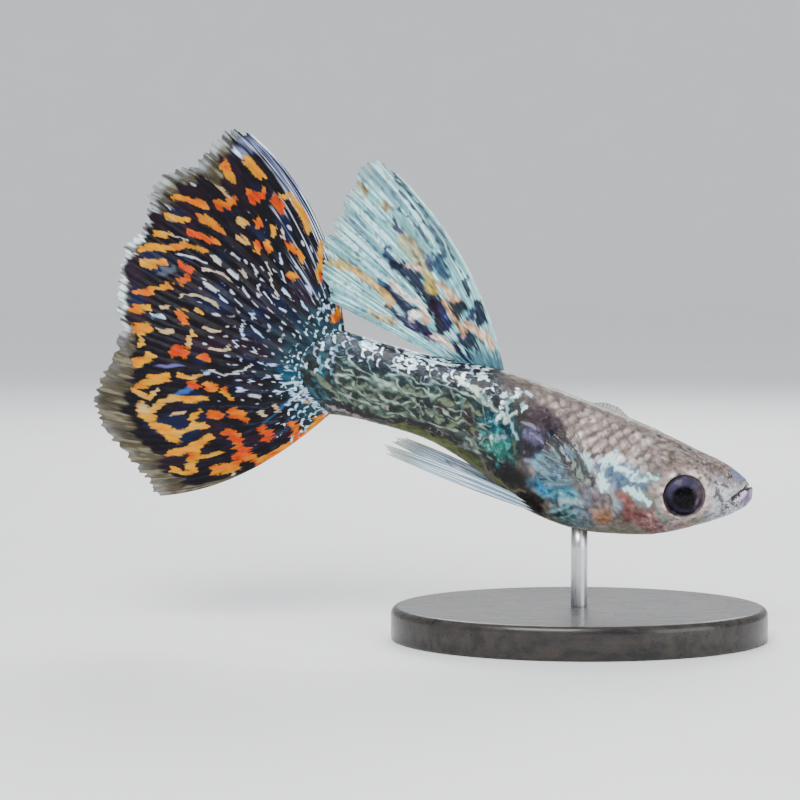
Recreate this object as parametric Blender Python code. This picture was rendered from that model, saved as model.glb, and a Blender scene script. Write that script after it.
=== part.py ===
"""A life-size still model of a male fancy guppy, swimming nose down, on a plain display stand.

Metres, +Z up. The origin is the middle of the stand's underside. The fish points to +X, and its
right side faces -Y. The fish is drawn in its own frame first: x from the tail stem's end to the
chin, y to its left, z up. place() bends, pitches and lifts that frame onto the stand.
"""

import math
import random

import bmesh
import bpy
from mathutils import Matrix, Vector

MM = 0.001

# The fish's driving sizes
STANDARD_LENGTH = 30.0 * MM
PITCH = math.radians(16.2)
SWAY = 1.0 * MM
SWAY_FROM = 15.0 * MM
GAP = 0.3 * MM

# The stand's driving sizes
BASE_LENGTH = 25.0 * MM
BASE_WIDTH = 17.0 * MM
BASE_HEIGHT = 2.2 * MM
BASE_EDGE = 0.5 * MM
ROD_RADIUS = 0.55 * MM
STEM_END = Vector((-17.3, 0.0, 18.0)) * MM

# The rings of the body, from the tail stem's end to the inside of the mouth, in millimetres:
# the back's (x, z), the flank's (x, z, half width) and the belly's (x, z)
RINGS = (
    ((1.00, 2.85), (-1.25, 0.10, 0.30), (1.60, -2.78)),
    ((1.90, 2.80), (0.50, 0.10, 0.60), (2.50, -2.62)),
    ((4.20, 2.78), (3.90, 0.10, 0.98), (4.20, -2.48)),
    ((8.20, 2.95), (8.10, 0.15, 1.38), (8.20, -2.52)),
    ((11.80, 3.28), (11.60, 0.10, 1.75), (11.90, -3.50)),
    ((15.30, 3.08), (14.90, -0.30, 2.08), (15.20, -5.00)),
    ((18.80, 2.76), (17.90, -0.75, 2.30), (19.30, -5.48)),
    ((22.00, 2.42), (20.80, -1.00, 2.36), (23.30, -4.72)),
    ((23.80, 2.14), (23.10, -0.85, 2.22), (24.80, -4.18)),
    ((25.40, 1.86), (25.20, -0.75, 1.98), (26.20, -3.46)),
    ((26.80, 1.62), (26.90, -0.65, 1.64), (27.60, -2.60)),
    ((28.00, 1.36), (28.10, -0.48, 1.30), (28.80, -1.76)),
    ((28.90, 0.98), (28.70, -0.38, 1.06), (29.50, -1.14)),
    ((29.40, 0.68), (28.85, -0.34, 0.95), (29.92, -0.42)),
    ((29.42, 0.47), (28.72, -0.36, 0.88), (29.90, 0.24)),
    ((29.15, 0.26), (28.55, -0.38, 0.78), (29.60, 0.14)),
    ((28.55, -0.12), (28.20, -0.40, 0.45), (28.75, -0.26)),
)
GILL_RING = 6.8
STEM_RING = 2.86
MOUTH_RING = len(RINGS) - 1.0
BACK_ROUNDNESS = 0.86
BELLY_ROUNDNESS = 0.94

RING_SIDES = 32
GILL_LIP = 0.14 * MM
GILL_LIP_RINGS = 0.9

EYE_RING = 9.2
EYE_CENTRE = Vector((25.33, 1.42, -1.25)) * MM
EYE_RADIUS = 1.38 * MM
EYE_DEPTH = 0.84 * MM
EYE_RIM_RADIUS = 1.62 * MM
EYE_RIM_RISE = 0.12 * MM
NOSTRIL_AT = ((27.75, 0.55), (27.15, 0.05))
NOSTRIL_RADIUS = 0.17 * MM

# A fin is a fan of rays: root and tip lines, the way a ray leaves the root, and its thickness
WEB_HALF = 0.25 * MM
RIDGE = 0.12 * MM
TIP_HALF = 0.11 * MM

TAIL_RAYS = 15
DORSAL_RAYS = 8
PECTORAL_RAYS = 9
PELVIC_RAYS = 3

SKIN = (0.36, 0.36, 0.33)
BELLY_SKIN = (0.16, 0.20, 0.20)
SNAKESKIN = (0.20, 0.24, 0.22)
TAIL_COLOUR = (0.10, 0.07, 0.09)
DORSAL_COLOUR = (0.55, 0.66, 0.68)
CLEAR_FIN = (0.62, 0.64, 0.60)
PALE_BLUE = (0.55, 0.64, 0.80)
EYE_COLOUR = (0.03, 0.02, 0.06)
BASE_COLOUR = (0.05, 0.05, 0.055)
STEEL = (0.55, 0.56, 0.58)


def clear_scene():
    for obj in list(bpy.data.objects):
        bpy.data.objects.remove(obj, do_unlink=True)


def material(name, colour, roughness, metallic=0.0):
    made = bpy.data.materials.new(name)
    made.use_nodes = True
    shader = made.node_tree.nodes["Principled BSDF"]
    shader.inputs["Base Color"].default_value = (*colour, 1.0)
    shader.inputs["Roughness"].default_value = roughness
    shader.inputs["Metallic"].default_value = metallic
    return made


def smoothstep(low, high, value):
    share = min(1.0, max(0.0, (value - low) / (high - low)))
    return share * share * (3.0 - 2.0 * share)


def mix(a, b, share):
    return a + (b - a) * share


def through(knots, at):
    """The Catmull-Rom curve through evenly spaced knots, each a number or a tuple; at is in knots."""
    last = len(knots) - 1
    at = min(float(last), max(0.0, at))
    k = min(int(at), last - 1)
    f = at - k
    p0, p1, p2, p3 = (knots[min(last, max(0, k + step))] for step in (-1, 0, 1, 2))

    def blend(a, b, c, d):
        bend = (2 * a - 5 * b + 4 * c - d) * f * f + (3 * b - a - 3 * c + d) * f**3
        return 0.5 * (2 * b + (c - a) * f + bend)

    if isinstance(p1, tuple):
        return tuple(blend(*values) for values in zip(p0, p1, p2, p3))
    return blend(p0, p1, p2, p3)


def place(point):
    """A point of the fish's own frame, bent to the side behind the dorsal fin, pitched and lifted."""
    behind = max(0.0, SWAY_FROM - point.x) / SWAY_FROM
    bent = Vector((point.x, point.y + SWAY * behind * behind, point.z))
    return Matrix.Rotation(PITCH, 3, "Y") @ bent + STEM_END


def from_stem(x, z):
    """A point of the middle plane, given in level millimetres from the tail stem's end."""
    return Matrix.Rotation(-PITCH, 3, "Y") @ Vector((x, 0.0, z)) * MM


def level_vector(degrees):
    """A unit vector in the middle plane: 0 points level to the rear, 90 straight up."""
    angle = math.radians(degrees)
    return Matrix.Rotation(-PITCH, 3, "Y") @ Vector((-math.cos(angle), 0.0, math.sin(angle)))


def skin_point(ring, angle):
    """The body's surface. ring counts the rows of RINGS; angle is 0 on the back, and grows to the left."""
    back = through([r[0] for r in RINGS], ring)
    flank = through([r[1] for r in RINGS], ring)
    belly = through([r[2] for r in RINGS], ring)
    up, out = math.cos(angle), math.sin(angle)
    rim = back if up >= 0 else belly
    power = BACK_ROUNDNESS if up >= 0 else BELLY_ROUNDNESS
    share = abs(up) ** power
    x = mix(flank[0], rim[0], share * share)
    z = mix(flank[1], rim[1], share)
    y = flank[2] * math.copysign(abs(out) ** power, out)
    return Vector((x, y, z)) * MM


def skin_normal(ring, angle):
    step_ring, step_angle = 0.02, 0.02
    along = skin_point(ring + step_ring, angle) - skin_point(ring - step_ring, angle)
    round_body = skin_point(ring, angle + step_angle) - skin_point(ring, angle - step_angle)
    return along.cross(round_body).normalized()


def gill_cover(ring, angle):
    """How far the gill cover's free edge stands proud: most at the head's rear, on the sides."""
    near_edge = 1.0 - smoothstep(0.0, GILL_LIP_RINGS, ring - GILL_RING)
    on_side = smoothstep(0.25, 0.8, abs(math.sin(angle)))
    return GILL_LIP * near_edge * on_side


def eye_rim(point):
    """How far the skin rises round the eye."""
    away = Vector((point.x - EYE_CENTRE.x, point.z - EYE_CENTRE.z)).length
    return EYE_RIM_RISE * (1.0 - smoothstep(0.3, 1.0, abs(away - EYE_RIM_RADIUS) / (0.5 * MM)))


def head_point(ring, angle):
    point = skin_point(ring, angle)
    normal = skin_normal(min(ring, MOUTH_RING - 3.0), angle)
    lift = gill_cover(ring, angle)
    if ring < MOUTH_RING - 5.0:
        lift += eye_rim(point)
    return point + normal * lift


def link(name, mesh, finish):
    obj = bpy.data.objects.new(name, mesh)
    bpy.context.scene.collection.objects.link(obj)
    mesh.materials.append(finish)
    mesh.shade_smooth()
    mesh.set_sharp_from_angle(angle=math.radians(50))
    return obj


def finished_mesh(name, builder):
    """The mesh of a bmesh, closed and facing out."""
    bmesh.ops.recalc_face_normals(builder, faces=builder.faces)
    if builder.calc_volume(signed=True) < 0:
        bmesh.ops.reverse_faces(builder, faces=builder.faces)
    mesh = bpy.data.meshes.new(name)
    builder.to_mesh(mesh)
    builder.free()
    return mesh


def add_loop(builder, points):
    return [builder.verts.new(place(point)) for point in points]


def close_across(builder, loop):
    """Closes a ring by joining its left and right points, so that the cap keeps the ring's curve."""
    count = len(loop)
    for k in range(count // 2):
        corners = [loop[k], loop[k + 1], loop[(count - k - 1) % count], loop[(count - k) % count]]
        builder.faces.new(list(dict.fromkeys(corners)))


def body_length(name, surface, rings, finish):
    """One closed length of the body, with a ring of points at each value of rings."""
    builder = bmesh.new()
    loops = []
    for ring in rings:
        angles = [2.0 * math.pi * k / RING_SIDES for k in range(RING_SIDES)]
        loops.append(add_loop(builder, [surface(ring, angle) for angle in angles]))
    for first, second in zip(loops, loops[1:]):
        for k in range(RING_SIDES):
            after = (k + 1) % RING_SIDES
            builder.faces.new((first[k], first[after], second[after], second[k]))
    close_across(builder, loops[0])
    close_across(builder, loops[-1])
    bmesh.ops.triangulate(builder, faces=builder.faces)
    return link(name, finished_mesh(name, builder), finish)


def ring_values(first, last, count):
    return [mix(first, last, k / (count - 1)) for k in range(count)]


def ring_gap(ring):
    """GAP, counted in rings at this place on the flank."""
    step = 0.05
    length = (skin_point(ring + step, math.pi / 2) - skin_point(ring, math.pi / 2)).length
    return GAP * step / length


def egg(name, centre, radii, segments, rings):
    """A closed ellipsoid in the fish's frame, its poles along y."""
    builder = bmesh.new()
    bmesh.ops.create_uvsphere(builder, u_segments=segments, v_segments=rings, radius=1.0)
    for vert in builder.verts:
        ball = vert.co
        vert.co = place(centre + Vector((ball.x * radii[0], ball.z * radii[1], ball.y * radii[2])))
    return finished_mesh(name, builder)


def cut_away(obj, cutters, name):
    """Cuts the shapes of a collection out of a part; the shapes stay as hidden guides."""
    group = bpy.data.collections.new(name)
    bpy.context.scene.collection.children.link(group)
    for k, mesh in enumerate(cutters):
        cutter = bpy.data.objects.new(f"{name}_{k}", mesh)
        cutter.hide_render = True
        cutter.display_type = "WIRE"
        group.objects.link(cutter)
    cut = obj.modifiers.new(name, "BOOLEAN")
    cut.operation = "DIFFERENCE"
    cut.operand_type = "COLLECTION"
    cut.collection = group
    cut.solver = "EXACT"


def mirrored(centre, side):
    return Vector((centre.x, centre.y * side, centre.z))


def nostril(at, side, k):
    """A small pit beside the snout, set on the skin where the given (x, z) lies."""
    wanted = Vector((at[0], 0.0, at[1])) * MM
    rings = ring_values(9.5, 12.5, 31)
    angles = ring_values(0.2, 1.4, 25)
    spots = [skin_point(ring, side * angle) for ring in rings for angle in angles]
    spot = min(spots, key=lambda p: (p.x - wanted.x) ** 2 + (p.z - wanted.z) ** 2)
    radii = (NOSTRIL_RADIUS * 1.2, NOSTRIL_RADIUS, NOSTRIL_RADIUS)
    return egg(f"nostril_{side}_{k}", spot, radii, 8, 6)


def make_head(finish):
    to_snout = ring_values(GILL_RING, 12.0, 19)
    to_mouth = ring_values(12.0, MOUTH_RING, 13)[1:]
    head = body_length("head", head_point, to_snout + to_mouth, finish)
    room = (EYE_RADIUS + GAP, EYE_DEPTH + GAP, EYE_RADIUS + GAP)
    cutters = []
    for side in (1, -1):
        cutters.append(egg(f"socket_{side}", mirrored(EYE_CENTRE, side), room, 24, 14))
        cutters += [nostril(at, side, k) for k, at in enumerate(NOSTRIL_AT)]
    cut_away(head, cutters, "hollows")


def make_eyes(finish):
    radii = (EYE_RADIUS, EYE_DEPTH, EYE_RADIUS)
    for word, side in (("left", 1), ("right", -1)):
        link(f"eye_{word}", egg("eye", mirrored(EYE_CENTRE, side), radii, 20, 12), finish)


def make_body(head_finish, belly_finish, stem_finish):
    make_head(head_finish)
    front = GILL_RING - ring_gap(GILL_RING)
    rear = STEM_RING + ring_gap(STEM_RING)
    body_length("trunk", skin_point, ring_values(rear, front, 15), belly_finish)
    body_length("tail_stem", skin_point, ring_values(0.0, STEM_RING, 11), stem_finish)


def ray_ridge(across, along, rays):
    """0 on the web and 1 on a ray. Each ray forks in two half way to its tip."""
    place_in_ray = (across * rays) % 1.0
    single = max(0.0, 1.0 - abs(place_in_ray - 0.5) / 0.42)
    double = max(0.0, 1.0 - abs(abs(place_in_ray - 0.5) - 0.25) / 0.22)
    forked = smoothstep(0.35, 0.55, along)
    return mix(single, double, forked)


def grow_fin(name, surface, rays, rows, finish, root_half, web_half=WEB_HALF):
    """A closed fin round surface(across, along), thicker on its rays and thin at its margin.

    Each ray takes four columns of points. Both faces are split into triangles alike.
    """
    columns = rays * 4
    centres = [
        [surface(c / columns, r / rows) for r in range(rows + 1)] for c in range(columns + 1)
    ]

    def face_normal(c, r):
        across = centres[min(columns, c + 1)][r] - centres[max(0, c - 1)][r]
        along = centres[c][min(rows, r + 1)] - centres[c][max(0, r - 1)]
        return across.cross(along).normalized()

    def half(c, r):
        along = r / rows
        web = mix(root_half, web_half, smoothstep(0.0, 0.15, along))
        ridge = RIDGE * ray_ridge(c / columns, along, rays) * smoothstep(0.0, 0.1, along)
        return mix(web + ridge, TIP_HALF, smoothstep(0.82, 1.0, along))

    builder = bmesh.new()
    sides = {}
    for way in (1, -1):
        for c in range(columns + 1):
            for r in range(rows + 1):
                point = centres[c][r] + face_normal(c, r) * (way * half(c, r))
                sides[way, c, r] = builder.verts.new(place(point))
    for c in range(columns):
        for r in range(rows):
            for way in (1, -1):
                a, b = sides[way, c, r], sides[way, c + 1, r]
                d, e = sides[way, c, r + 1], sides[way, c + 1, r + 1]
                builder.faces.new((a, b, e))
                builder.faces.new((a, e, d))
    rim = [(c, 0) for c in range(columns)] + [(columns, r) for r in range(rows)]
    rim += [(c, rows) for c in range(columns, 0, -1)] + [(0, r) for r in range(rows, 0, -1)]
    for (c, r), (c2, r2) in zip(rim, rim[1:] + rim[:1]):
        a, b = sides[1, c, r], sides[1, c2, r2]
        d, e = sides[-1, c, r], sides[-1, c2, r2]
        builder.faces.new((a, b, e))
        builder.faces.new((a, e, d))
    return link(name, finished_mesh(name, builder), finish)


def bezier(start, handle, end, share):
    rest = 1.0 - share
    return start * (rest * rest) + handle * (2.0 * rest * share) + end * (share * share)


def ragged(seed, count, most):
    """A repeatable uneven margin: count knots between -most and most."""
    draw = random.Random(seed)
    return [draw.uniform(-most, most) for _ in range(count)]


# The tail fin's rays, from its lower to its upper edge: their tips, and the way the edges leave
TAIL_TIPS = (
    (-10.6, -8.7),
    (-12.5, -6.6),
    (-14.6, -3.8),
    (-14.6, -1.1),
    (-13.3, 1.5),
    (-13.3, 4.6),
    (-13.2, 7.6),
    (-11.6, 9.6),
    (-11.0, 12.0),
    (-8.1, 13.7),
    (-5.9, 15.4),
    (-4.3, 15.2),
)
TAIL_LEAVES = (-43.0, 86.0)
TAIL_BOW = 0.60
TAIL_RAGGED = ragged(4, 31, 0.22 * MM)
TAIL_WAVE = 0.7 * MM
TAIL_SCALLOP = 0.32 * MM


def tail_root(across):
    """The tail fin's root follows the stem's curved end, GAP behind it."""
    edge = skin_point(0.0, math.pi * (1.0 - across))
    leave = level_vector(mix(*TAIL_LEAVES, across))
    return Vector((edge.x, 0.0, edge.z)) + leave * GAP


def tail_surface(across, along):
    root = tail_root(across)
    tip = from_stem(*through(TAIL_TIPS, across * (len(TAIL_TIPS) - 1)))
    longer = through(TAIL_RAGGED, across * (len(TAIL_RAGGED) - 1))
    longer -= TAIL_SCALLOP * (0.5 - ray_ridge(across, 1.0, TAIL_RAYS))
    tip += (tip - root).normalized() * longer
    handle = root + level_vector(mix(*TAIL_LEAVES, across)) * ((tip - root).length * TAIL_BOW)
    point = bezier(root, handle, tip, along)
    swell = smoothstep(0.05, 1.0, along)
    point.y = TAIL_WAVE * swell * math.sin(2.0 * math.pi * (1.6 * across + 0.25 * along))
    return point


# The dorsal fin's rays, from its front to its rear edge
DORSAL_ROOT = (4.06, 3.12)
DORSAL_TIPS = (
    (3.9, 13.5),
    (2.8, 12.4),
    (2.1, 11.1),
    (1.5, 10.2),
    (1.5, 9.4),
    (0.7, 8.6),
    (0.4, 7.3),
    (0.7, 5.6),
    (1.0, 4.3),
)
DORSAL_LEAVES = (79.0, 28.0)
DORSAL_BOW = 0.54
DORSAL_RAGGED = ragged(9, 17, 0.15 * MM)
DORSAL_LEAN = -1.5 * MM
DORSAL_WAVE = 0.35 * MM


def dorsal_surface(across, along):
    root = skin_point(mix(*DORSAL_ROOT, across), 0.0) + Vector((0.0, 0.0, GAP))
    tip = from_stem(*through(DORSAL_TIPS, across * (len(DORSAL_TIPS) - 1)))
    longer = through(DORSAL_RAGGED, across * (len(DORSAL_RAGGED) - 1))
    tip += (tip - root).normalized() * longer
    leave = level_vector(mix(*DORSAL_LEAVES, across))
    handle = root + leave * ((tip - root).length * DORSAL_BOW)
    point = bezier(root, handle, tip, along)
    wave = DORSAL_WAVE * math.sin(2.0 * math.pi * (1.3 * across + 0.2)) * along
    point.y = DORSAL_LEAN * along * along + wave
    return point


# The pectoral fins: the right one lies back along the flank, the left one is raised. Each has its
# side, the rings and angles of its root's two ends, its fan of headings, its slant out and its reach
PECTORAL_RIGHT = (-1, (6.46, 6.36), (1.84, 1.62), (-2.0, 66.0), math.radians(32), 5.0 * MM)
PECTORAL_LEFT = (1, (6.30, 6.52), (1.72, 1.66), (88.0, 152.0), math.radians(34), 5.6 * MM)
PECTORAL_CUP = 0.9 * MM


def pectoral_surface(side, rings, angles, fan, out, reach):
    def surface(across, along):
        ring = mix(*rings, across)
        angle = side * mix(*angles, across)
        root = skin_point(ring, angle) + skin_normal(ring, angle) * GAP
        flat = level_vector(mix(*fan, across)) * math.cos(out)
        heading = flat + Vector((0.0, side * math.sin(out), 0.0))
        outline = reach * (0.72 + 0.28 * math.sin(math.pi * (0.15 + 0.75 * across)))
        handle = root + heading * (0.25 * outline) + Vector((0.0, side * PECTORAL_CUP, 0.0))
        return bezier(root, handle, root + heading * outline, along)

    return surface


# The pelvic fins trail under the belly, either side of the gonopodium
PELVIC_RINGS = (5.46, 5.30)
PELVIC_ANGLES = (math.radians(166), math.radians(150))
PELVIC_STAND_OFF = 0.36 * MM
PELVIC_SPREAD = 1.25 * MM
PELVIC_TIPS = {1: ((5.0, -5.1), (5.7, -4.7)), -1: ((4.7, -5.7), (4.6, -5.0))}
PELVIC_WIDTH = {1: 0.5 * MM, -1: 0.4 * MM}
PELVIC_RISE = {1: 0.1 * MM, -1: 0.1 * MM}


def pelvic_surface(side):
    low_tip, high_tip = (from_stem(*tip) for tip in PELVIC_TIPS[side])

    def surface(across, along):
        ring = mix(*PELVIC_RINGS, across)
        angle = side * mix(*PELVIC_ANGLES, across)
        root = skin_point(ring, angle) + skin_normal(ring, angle) * PELVIC_STAND_OFF
        tip = low_tip.lerp(high_tip, across)
        tip.y = side * PELVIC_SPREAD
        handle = root.lerp(tip, 0.45) + Vector((0.0, 0.0, PELVIC_RISE[side]))
        point = bezier(root, handle, tip, along)
        widen = PELVIC_WIDTH[side] * math.sin(math.pi * along) * (across - 0.5)
        return point + Vector((-0.35 * widen, 0.0, widen))

    return surface


# The gonopodium, the male's rod-like anal fin
ROD_FIN_RING = 5.06
ROD_FIN_TIP = (8.2, -5.9)
ROD_FIN_HALF_HEIGHT = 0.28 * MM
ROD_FIN_HALF_WIDTH = 0.30 * MM
ROD_FIN_SIDES = 10
ROD_FIN_STEPS = 14


def make_gonopodium(finish):
    down = skin_normal(ROD_FIN_RING, math.pi)
    root = skin_point(ROD_FIN_RING, math.pi) + down * (GAP + ROD_FIN_HALF_HEIGHT)
    tip = from_stem(*ROD_FIN_TIP)
    handle = root.lerp(tip, 0.5) + Vector((0.0, 0.0, -0.2 * MM))
    builder = bmesh.new()
    loops = []
    for step in range(ROD_FIN_STEPS + 1):
        share = step / ROD_FIN_STEPS
        centre = bezier(root, handle, tip, share)
        ahead = bezier(root, handle, tip, share + 0.01) - centre
        up = Vector((0.0, 1.0, 0.0)).cross(ahead).normalized()
        taper = mix(1.0, 0.55, smoothstep(0.1, 0.7, share)) * (1.0 - 0.8 * smoothstep(0.85, 1.0, share))
        ridge = 1.0 + 0.12 * math.sin(share * math.pi * 6.0)
        loop = []
        for k in range(ROD_FIN_SIDES):
            angle = 2.0 * math.pi * k / ROD_FIN_SIDES
            high = up * (ROD_FIN_HALF_HEIGHT * taper * ridge * math.cos(angle))
            wide = Vector((0.0, ROD_FIN_HALF_WIDTH * taper * math.sin(angle), 0.0))
            loop.append(centre + high + wide)
        loops.append(add_loop(builder, loop))
    for first, second in zip(loops, loops[1:]):
        for k in range(ROD_FIN_SIDES):
            after = (k + 1) % ROD_FIN_SIDES
            builder.faces.new((first[k], first[after], second[after], second[k]))
    builder.faces.new(loops[0])
    builder.faces.new(loops[-1])
    bmesh.ops.triangulate(builder, faces=builder.faces)
    link("gonopodium", finished_mesh("gonopodium", builder), finish)


def make_fins():
    tail = material("tail_fin", TAIL_COLOUR, 0.35)
    dorsal = material("dorsal_fin", DORSAL_COLOUR, 0.35)
    clear = material("clear_fin", CLEAR_FIN, 0.30)
    pale = material("pelvic_fin", PALE_BLUE, 0.30)
    grow_fin("caudal_fin", tail_surface, TAIL_RAYS, 12, tail, 0.30 * MM)
    grow_fin("dorsal_fin", dorsal_surface, DORSAL_RAYS, 12, dorsal, 0.36 * MM)
    right = pectoral_surface(*PECTORAL_RIGHT)
    left = pectoral_surface(*PECTORAL_LEFT)
    grow_fin("pectoral_fin_right", right, PECTORAL_RAYS, 6, clear, 0.26 * MM)
    grow_fin("pectoral_fin_left", left, PECTORAL_RAYS, 6, clear, 0.26 * MM)
    grow_fin("pelvic_fin_right", pelvic_surface(-1), PELVIC_RAYS, 10, pale, 0.25 * MM)
    grow_fin("pelvic_fin_left", pelvic_surface(1), PELVIC_RAYS, 10, pale, 0.25 * MM)
    make_gonopodium(pale)


def belly_under(x):
    """The lowest skin above the stand's axis at world x, as (height, slope)."""
    rings = ring_values(4.0, 9.0, 401)
    points = [place(skin_point(ring, math.pi)) for ring in rings]
    k = min(range(1, len(points) - 1), key=lambda i: abs(points[i].x - x))
    slope = (points[k + 1].z - points[k - 1].z) / (points[k + 1].x - points[k - 1].x)
    return points[k].z, slope


def make_stand():
    acrylic = material("stand_base", BASE_COLOUR, 0.35)
    steel = material("stand_rod", STEEL, 0.3, 1.0)
    builder = bmesh.new()
    bmesh.ops.create_cone(
        builder, cap_ends=True, segments=64, radius1=0.5, radius2=0.5, depth=BASE_HEIGHT
    )
    grow = Matrix.Diagonal((BASE_LENGTH, BASE_WIDTH, 1.0, 1.0))
    bmesh.ops.transform(builder, matrix=grow, verts=builder.verts)
    lift = Vector((0.0, 0.0, BASE_HEIGHT / 2))
    bmesh.ops.translate(builder, vec=lift, verts=builder.verts)
    base = link("stand_base", finished_mesh("stand_base", builder), acrylic)
    edge = base.modifiers.new("edge", "BEVEL")
    edge.width = BASE_EDGE
    edge.segments = 2
    edge.limit_method = "ANGLE"

    height, slope = belly_under(0.0)
    foot = BASE_HEIGHT + GAP
    top = height - GAP
    builder = bmesh.new()
    bmesh.ops.create_cone(
        builder, cap_ends=True, segments=20, radius1=ROD_RADIUS, radius2=ROD_RADIUS, depth=top - foot
    )
    bmesh.ops.translate(builder, vec=Vector((0.0, 0.0, (top + foot) / 2)), verts=builder.verts)
    for vert in builder.verts:
        if vert.co.z > (top + foot) / 2:
            vert.co.z += slope * vert.co.x
    link("stand_rod", finished_mesh("stand_rod", builder), steel)


def main():
    clear_scene()
    head = material("head_skin", SKIN, 0.35)
    trunk = material("trunk_skin", BELLY_SKIN, 0.30)
    stem = material("stem_skin", SNAKESKIN, 0.30)
    make_body(head, trunk, stem)
    make_eyes(material("eye", EYE_COLOUR, 0.05))
    make_fins()
    make_stand()


main()
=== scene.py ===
"""The dressed model of a male fancy guppy on its display stand.

The fish is drawn in its own frame in millimetres, as its solids are: x from the tail stem's end to
the chin, y to its left, z up. place() bends, pitches and lifts that frame onto the stand.
Markings are placed on the side view in picture units, PICTURE millimetres each, named u and v:
picture() gives a point's place there. On a fin, r runs out along the rays and a across them.
Paint is given in a picture's colours, 0 to 255, and linear() fits them to the studio's light.
"""

import math

import bpy
import numpy as np
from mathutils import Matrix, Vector


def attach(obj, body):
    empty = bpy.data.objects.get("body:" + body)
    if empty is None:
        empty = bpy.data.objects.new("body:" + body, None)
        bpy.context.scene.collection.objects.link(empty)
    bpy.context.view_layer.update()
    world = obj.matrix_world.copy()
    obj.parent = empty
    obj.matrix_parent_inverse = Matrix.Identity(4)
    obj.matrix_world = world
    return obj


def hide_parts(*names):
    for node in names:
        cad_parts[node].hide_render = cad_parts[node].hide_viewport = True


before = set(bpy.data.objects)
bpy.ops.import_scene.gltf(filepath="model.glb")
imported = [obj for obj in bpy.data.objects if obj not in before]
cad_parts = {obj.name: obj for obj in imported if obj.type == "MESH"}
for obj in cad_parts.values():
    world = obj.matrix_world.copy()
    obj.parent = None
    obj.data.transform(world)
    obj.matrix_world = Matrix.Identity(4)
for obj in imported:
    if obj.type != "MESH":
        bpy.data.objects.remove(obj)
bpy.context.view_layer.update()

MM = 0.001
PICTURE = 0.066
PITCH = math.radians(16.2)
COS, SIN = math.cos(PITCH), math.sin(PITCH)
SWAY = 1.0
SWAY_FROM = 15.0
STEM_END = np.array((-17.3, 0.0, 18.0))
STEM_PICTURE = (318.0, 368.0)
STUDIO = 2.0

# The body's rings: the back's (x, z), the flank's (x, z, half width), the belly's (x, z)
RINGS = (
    (1.00, 2.85, -1.25, 0.10, 0.30, 1.60, -2.78),
    (1.90, 2.80, 0.50, 0.10, 0.60, 2.50, -2.62),
    (4.20, 2.78, 3.90, 0.10, 0.98, 4.20, -2.48),
    (8.20, 2.95, 8.10, 0.15, 1.38, 8.20, -2.52),
    (11.80, 3.28, 11.60, 0.10, 1.75, 11.90, -3.50),
    (15.30, 3.08, 14.90, -0.30, 2.08, 15.20, -5.00),
    (18.80, 2.76, 17.90, -0.75, 2.30, 19.30, -5.48),
    (22.00, 2.42, 20.80, -1.00, 2.36, 23.30, -4.72),
    (23.80, 2.14, 23.10, -0.85, 2.22, 24.80, -4.18),
    (25.40, 1.86, 25.20, -0.75, 1.98, 26.20, -3.46),
    (26.80, 1.62, 26.90, -0.65, 1.64, 27.60, -2.60),
    (28.00, 1.36, 28.10, -0.48, 1.30, 28.80, -1.76),
    (28.90, 0.98, 28.70, -0.38, 1.06, 29.50, -1.14),
    (29.40, 0.68, 28.85, -0.34, 0.95, 29.92, -0.42),
    (29.50, 0.46, 28.74, -0.36, 0.90, 29.82, 0.40),
    (29.22, 0.26, 28.55, -0.38, 0.78, 29.42, 0.22),
    (28.55, -0.12, 28.20, -0.40, 0.45, 28.75, -0.26),
)
LAST_RING = len(RINGS) - 1.0
BACK_ROUNDNESS = 0.86
BELLY_ROUNDNESS = 0.94
SKIN_ROWS = 700
SKIN_COLUMNS = 400

EYE_CENTRE = np.array((25.33, 1.42, -1.25))
EYE_RADIUS = 1.38
EYE_DEPTH = 0.84


def smooth(low, high, value):
    share = np.clip((value - low) / (high - low), 0.0, 1.0)
    return share * share * (3.0 - 2.0 * share)


def mix(a, b, share):
    return a + (b - a) * share


def bell(away, width):
    return np.exp(-((away / width) ** 2))


def unit(vectors):
    return vectors / np.maximum(np.linalg.norm(vectors, axis=-1, keepdims=True), 1e-9)


def through(knots, at):
    """The Catmull-Rom curve through evenly spaced knots, at an array of places counted in knots."""
    knots = np.asarray(knots, float)
    if knots.ndim == 1:
        return through(knots[:, None], at)[..., 0]
    last = len(knots) - 1
    at = np.clip(np.asarray(at, float), 0.0, last)
    k = np.minimum(at.astype(int), last - 1)
    f = (at - k)[..., None]
    a, b, c, d = (knots[np.clip(k + step, 0, last)] for step in (-1, 0, 1, 2))
    bend = (2 * a - 5 * b + 4 * c - d) * f * f + (3 * b - a - 3 * c + d) * f**3
    return 0.5 * (2 * b + (c - a) * f + bend)


def filtered(field, kernel):
    return np.fft.ifft2(np.fft.fft2(field) * kernel).real


def random_field(shape, down, along, seed):
    """White noise, and each wave's count in a stretch of down by along samples."""
    fy, fx = np.meshgrid(np.fft.fftfreq(shape[0]), np.fft.fftfreq(shape[1]), indexing="ij")
    return np.random.default_rng(seed).standard_normal(shape), np.hypot(fy * down, fx * along)


def soft_noise(shape, down, along, seed):
    """Smooth noise of unit spread, wrapped at the edges; down and along are its blur in samples."""
    field, waves = random_field(shape, down, along, seed)
    field = filtered(field, np.exp(-2.0 * (math.pi * waves) ** 2))
    return (field - field.mean()) / field.std()


def cells(shape, down, along, seed, bias):
    """Spots or lines, as skin pigment forms them; down and along are their spacing in samples."""
    field, waves = random_field(shape, down, along, seed)
    kernel = np.exp(-(((waves - 1.0) / 0.3) ** 2))
    for _ in range(20):
        field = filtered(field, kernel)
        field = np.tanh(2.2 * field / (field.std() + 1e-9) + bias)
    field = filtered(field, kernel)
    return field / np.abs(field).max()


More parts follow.
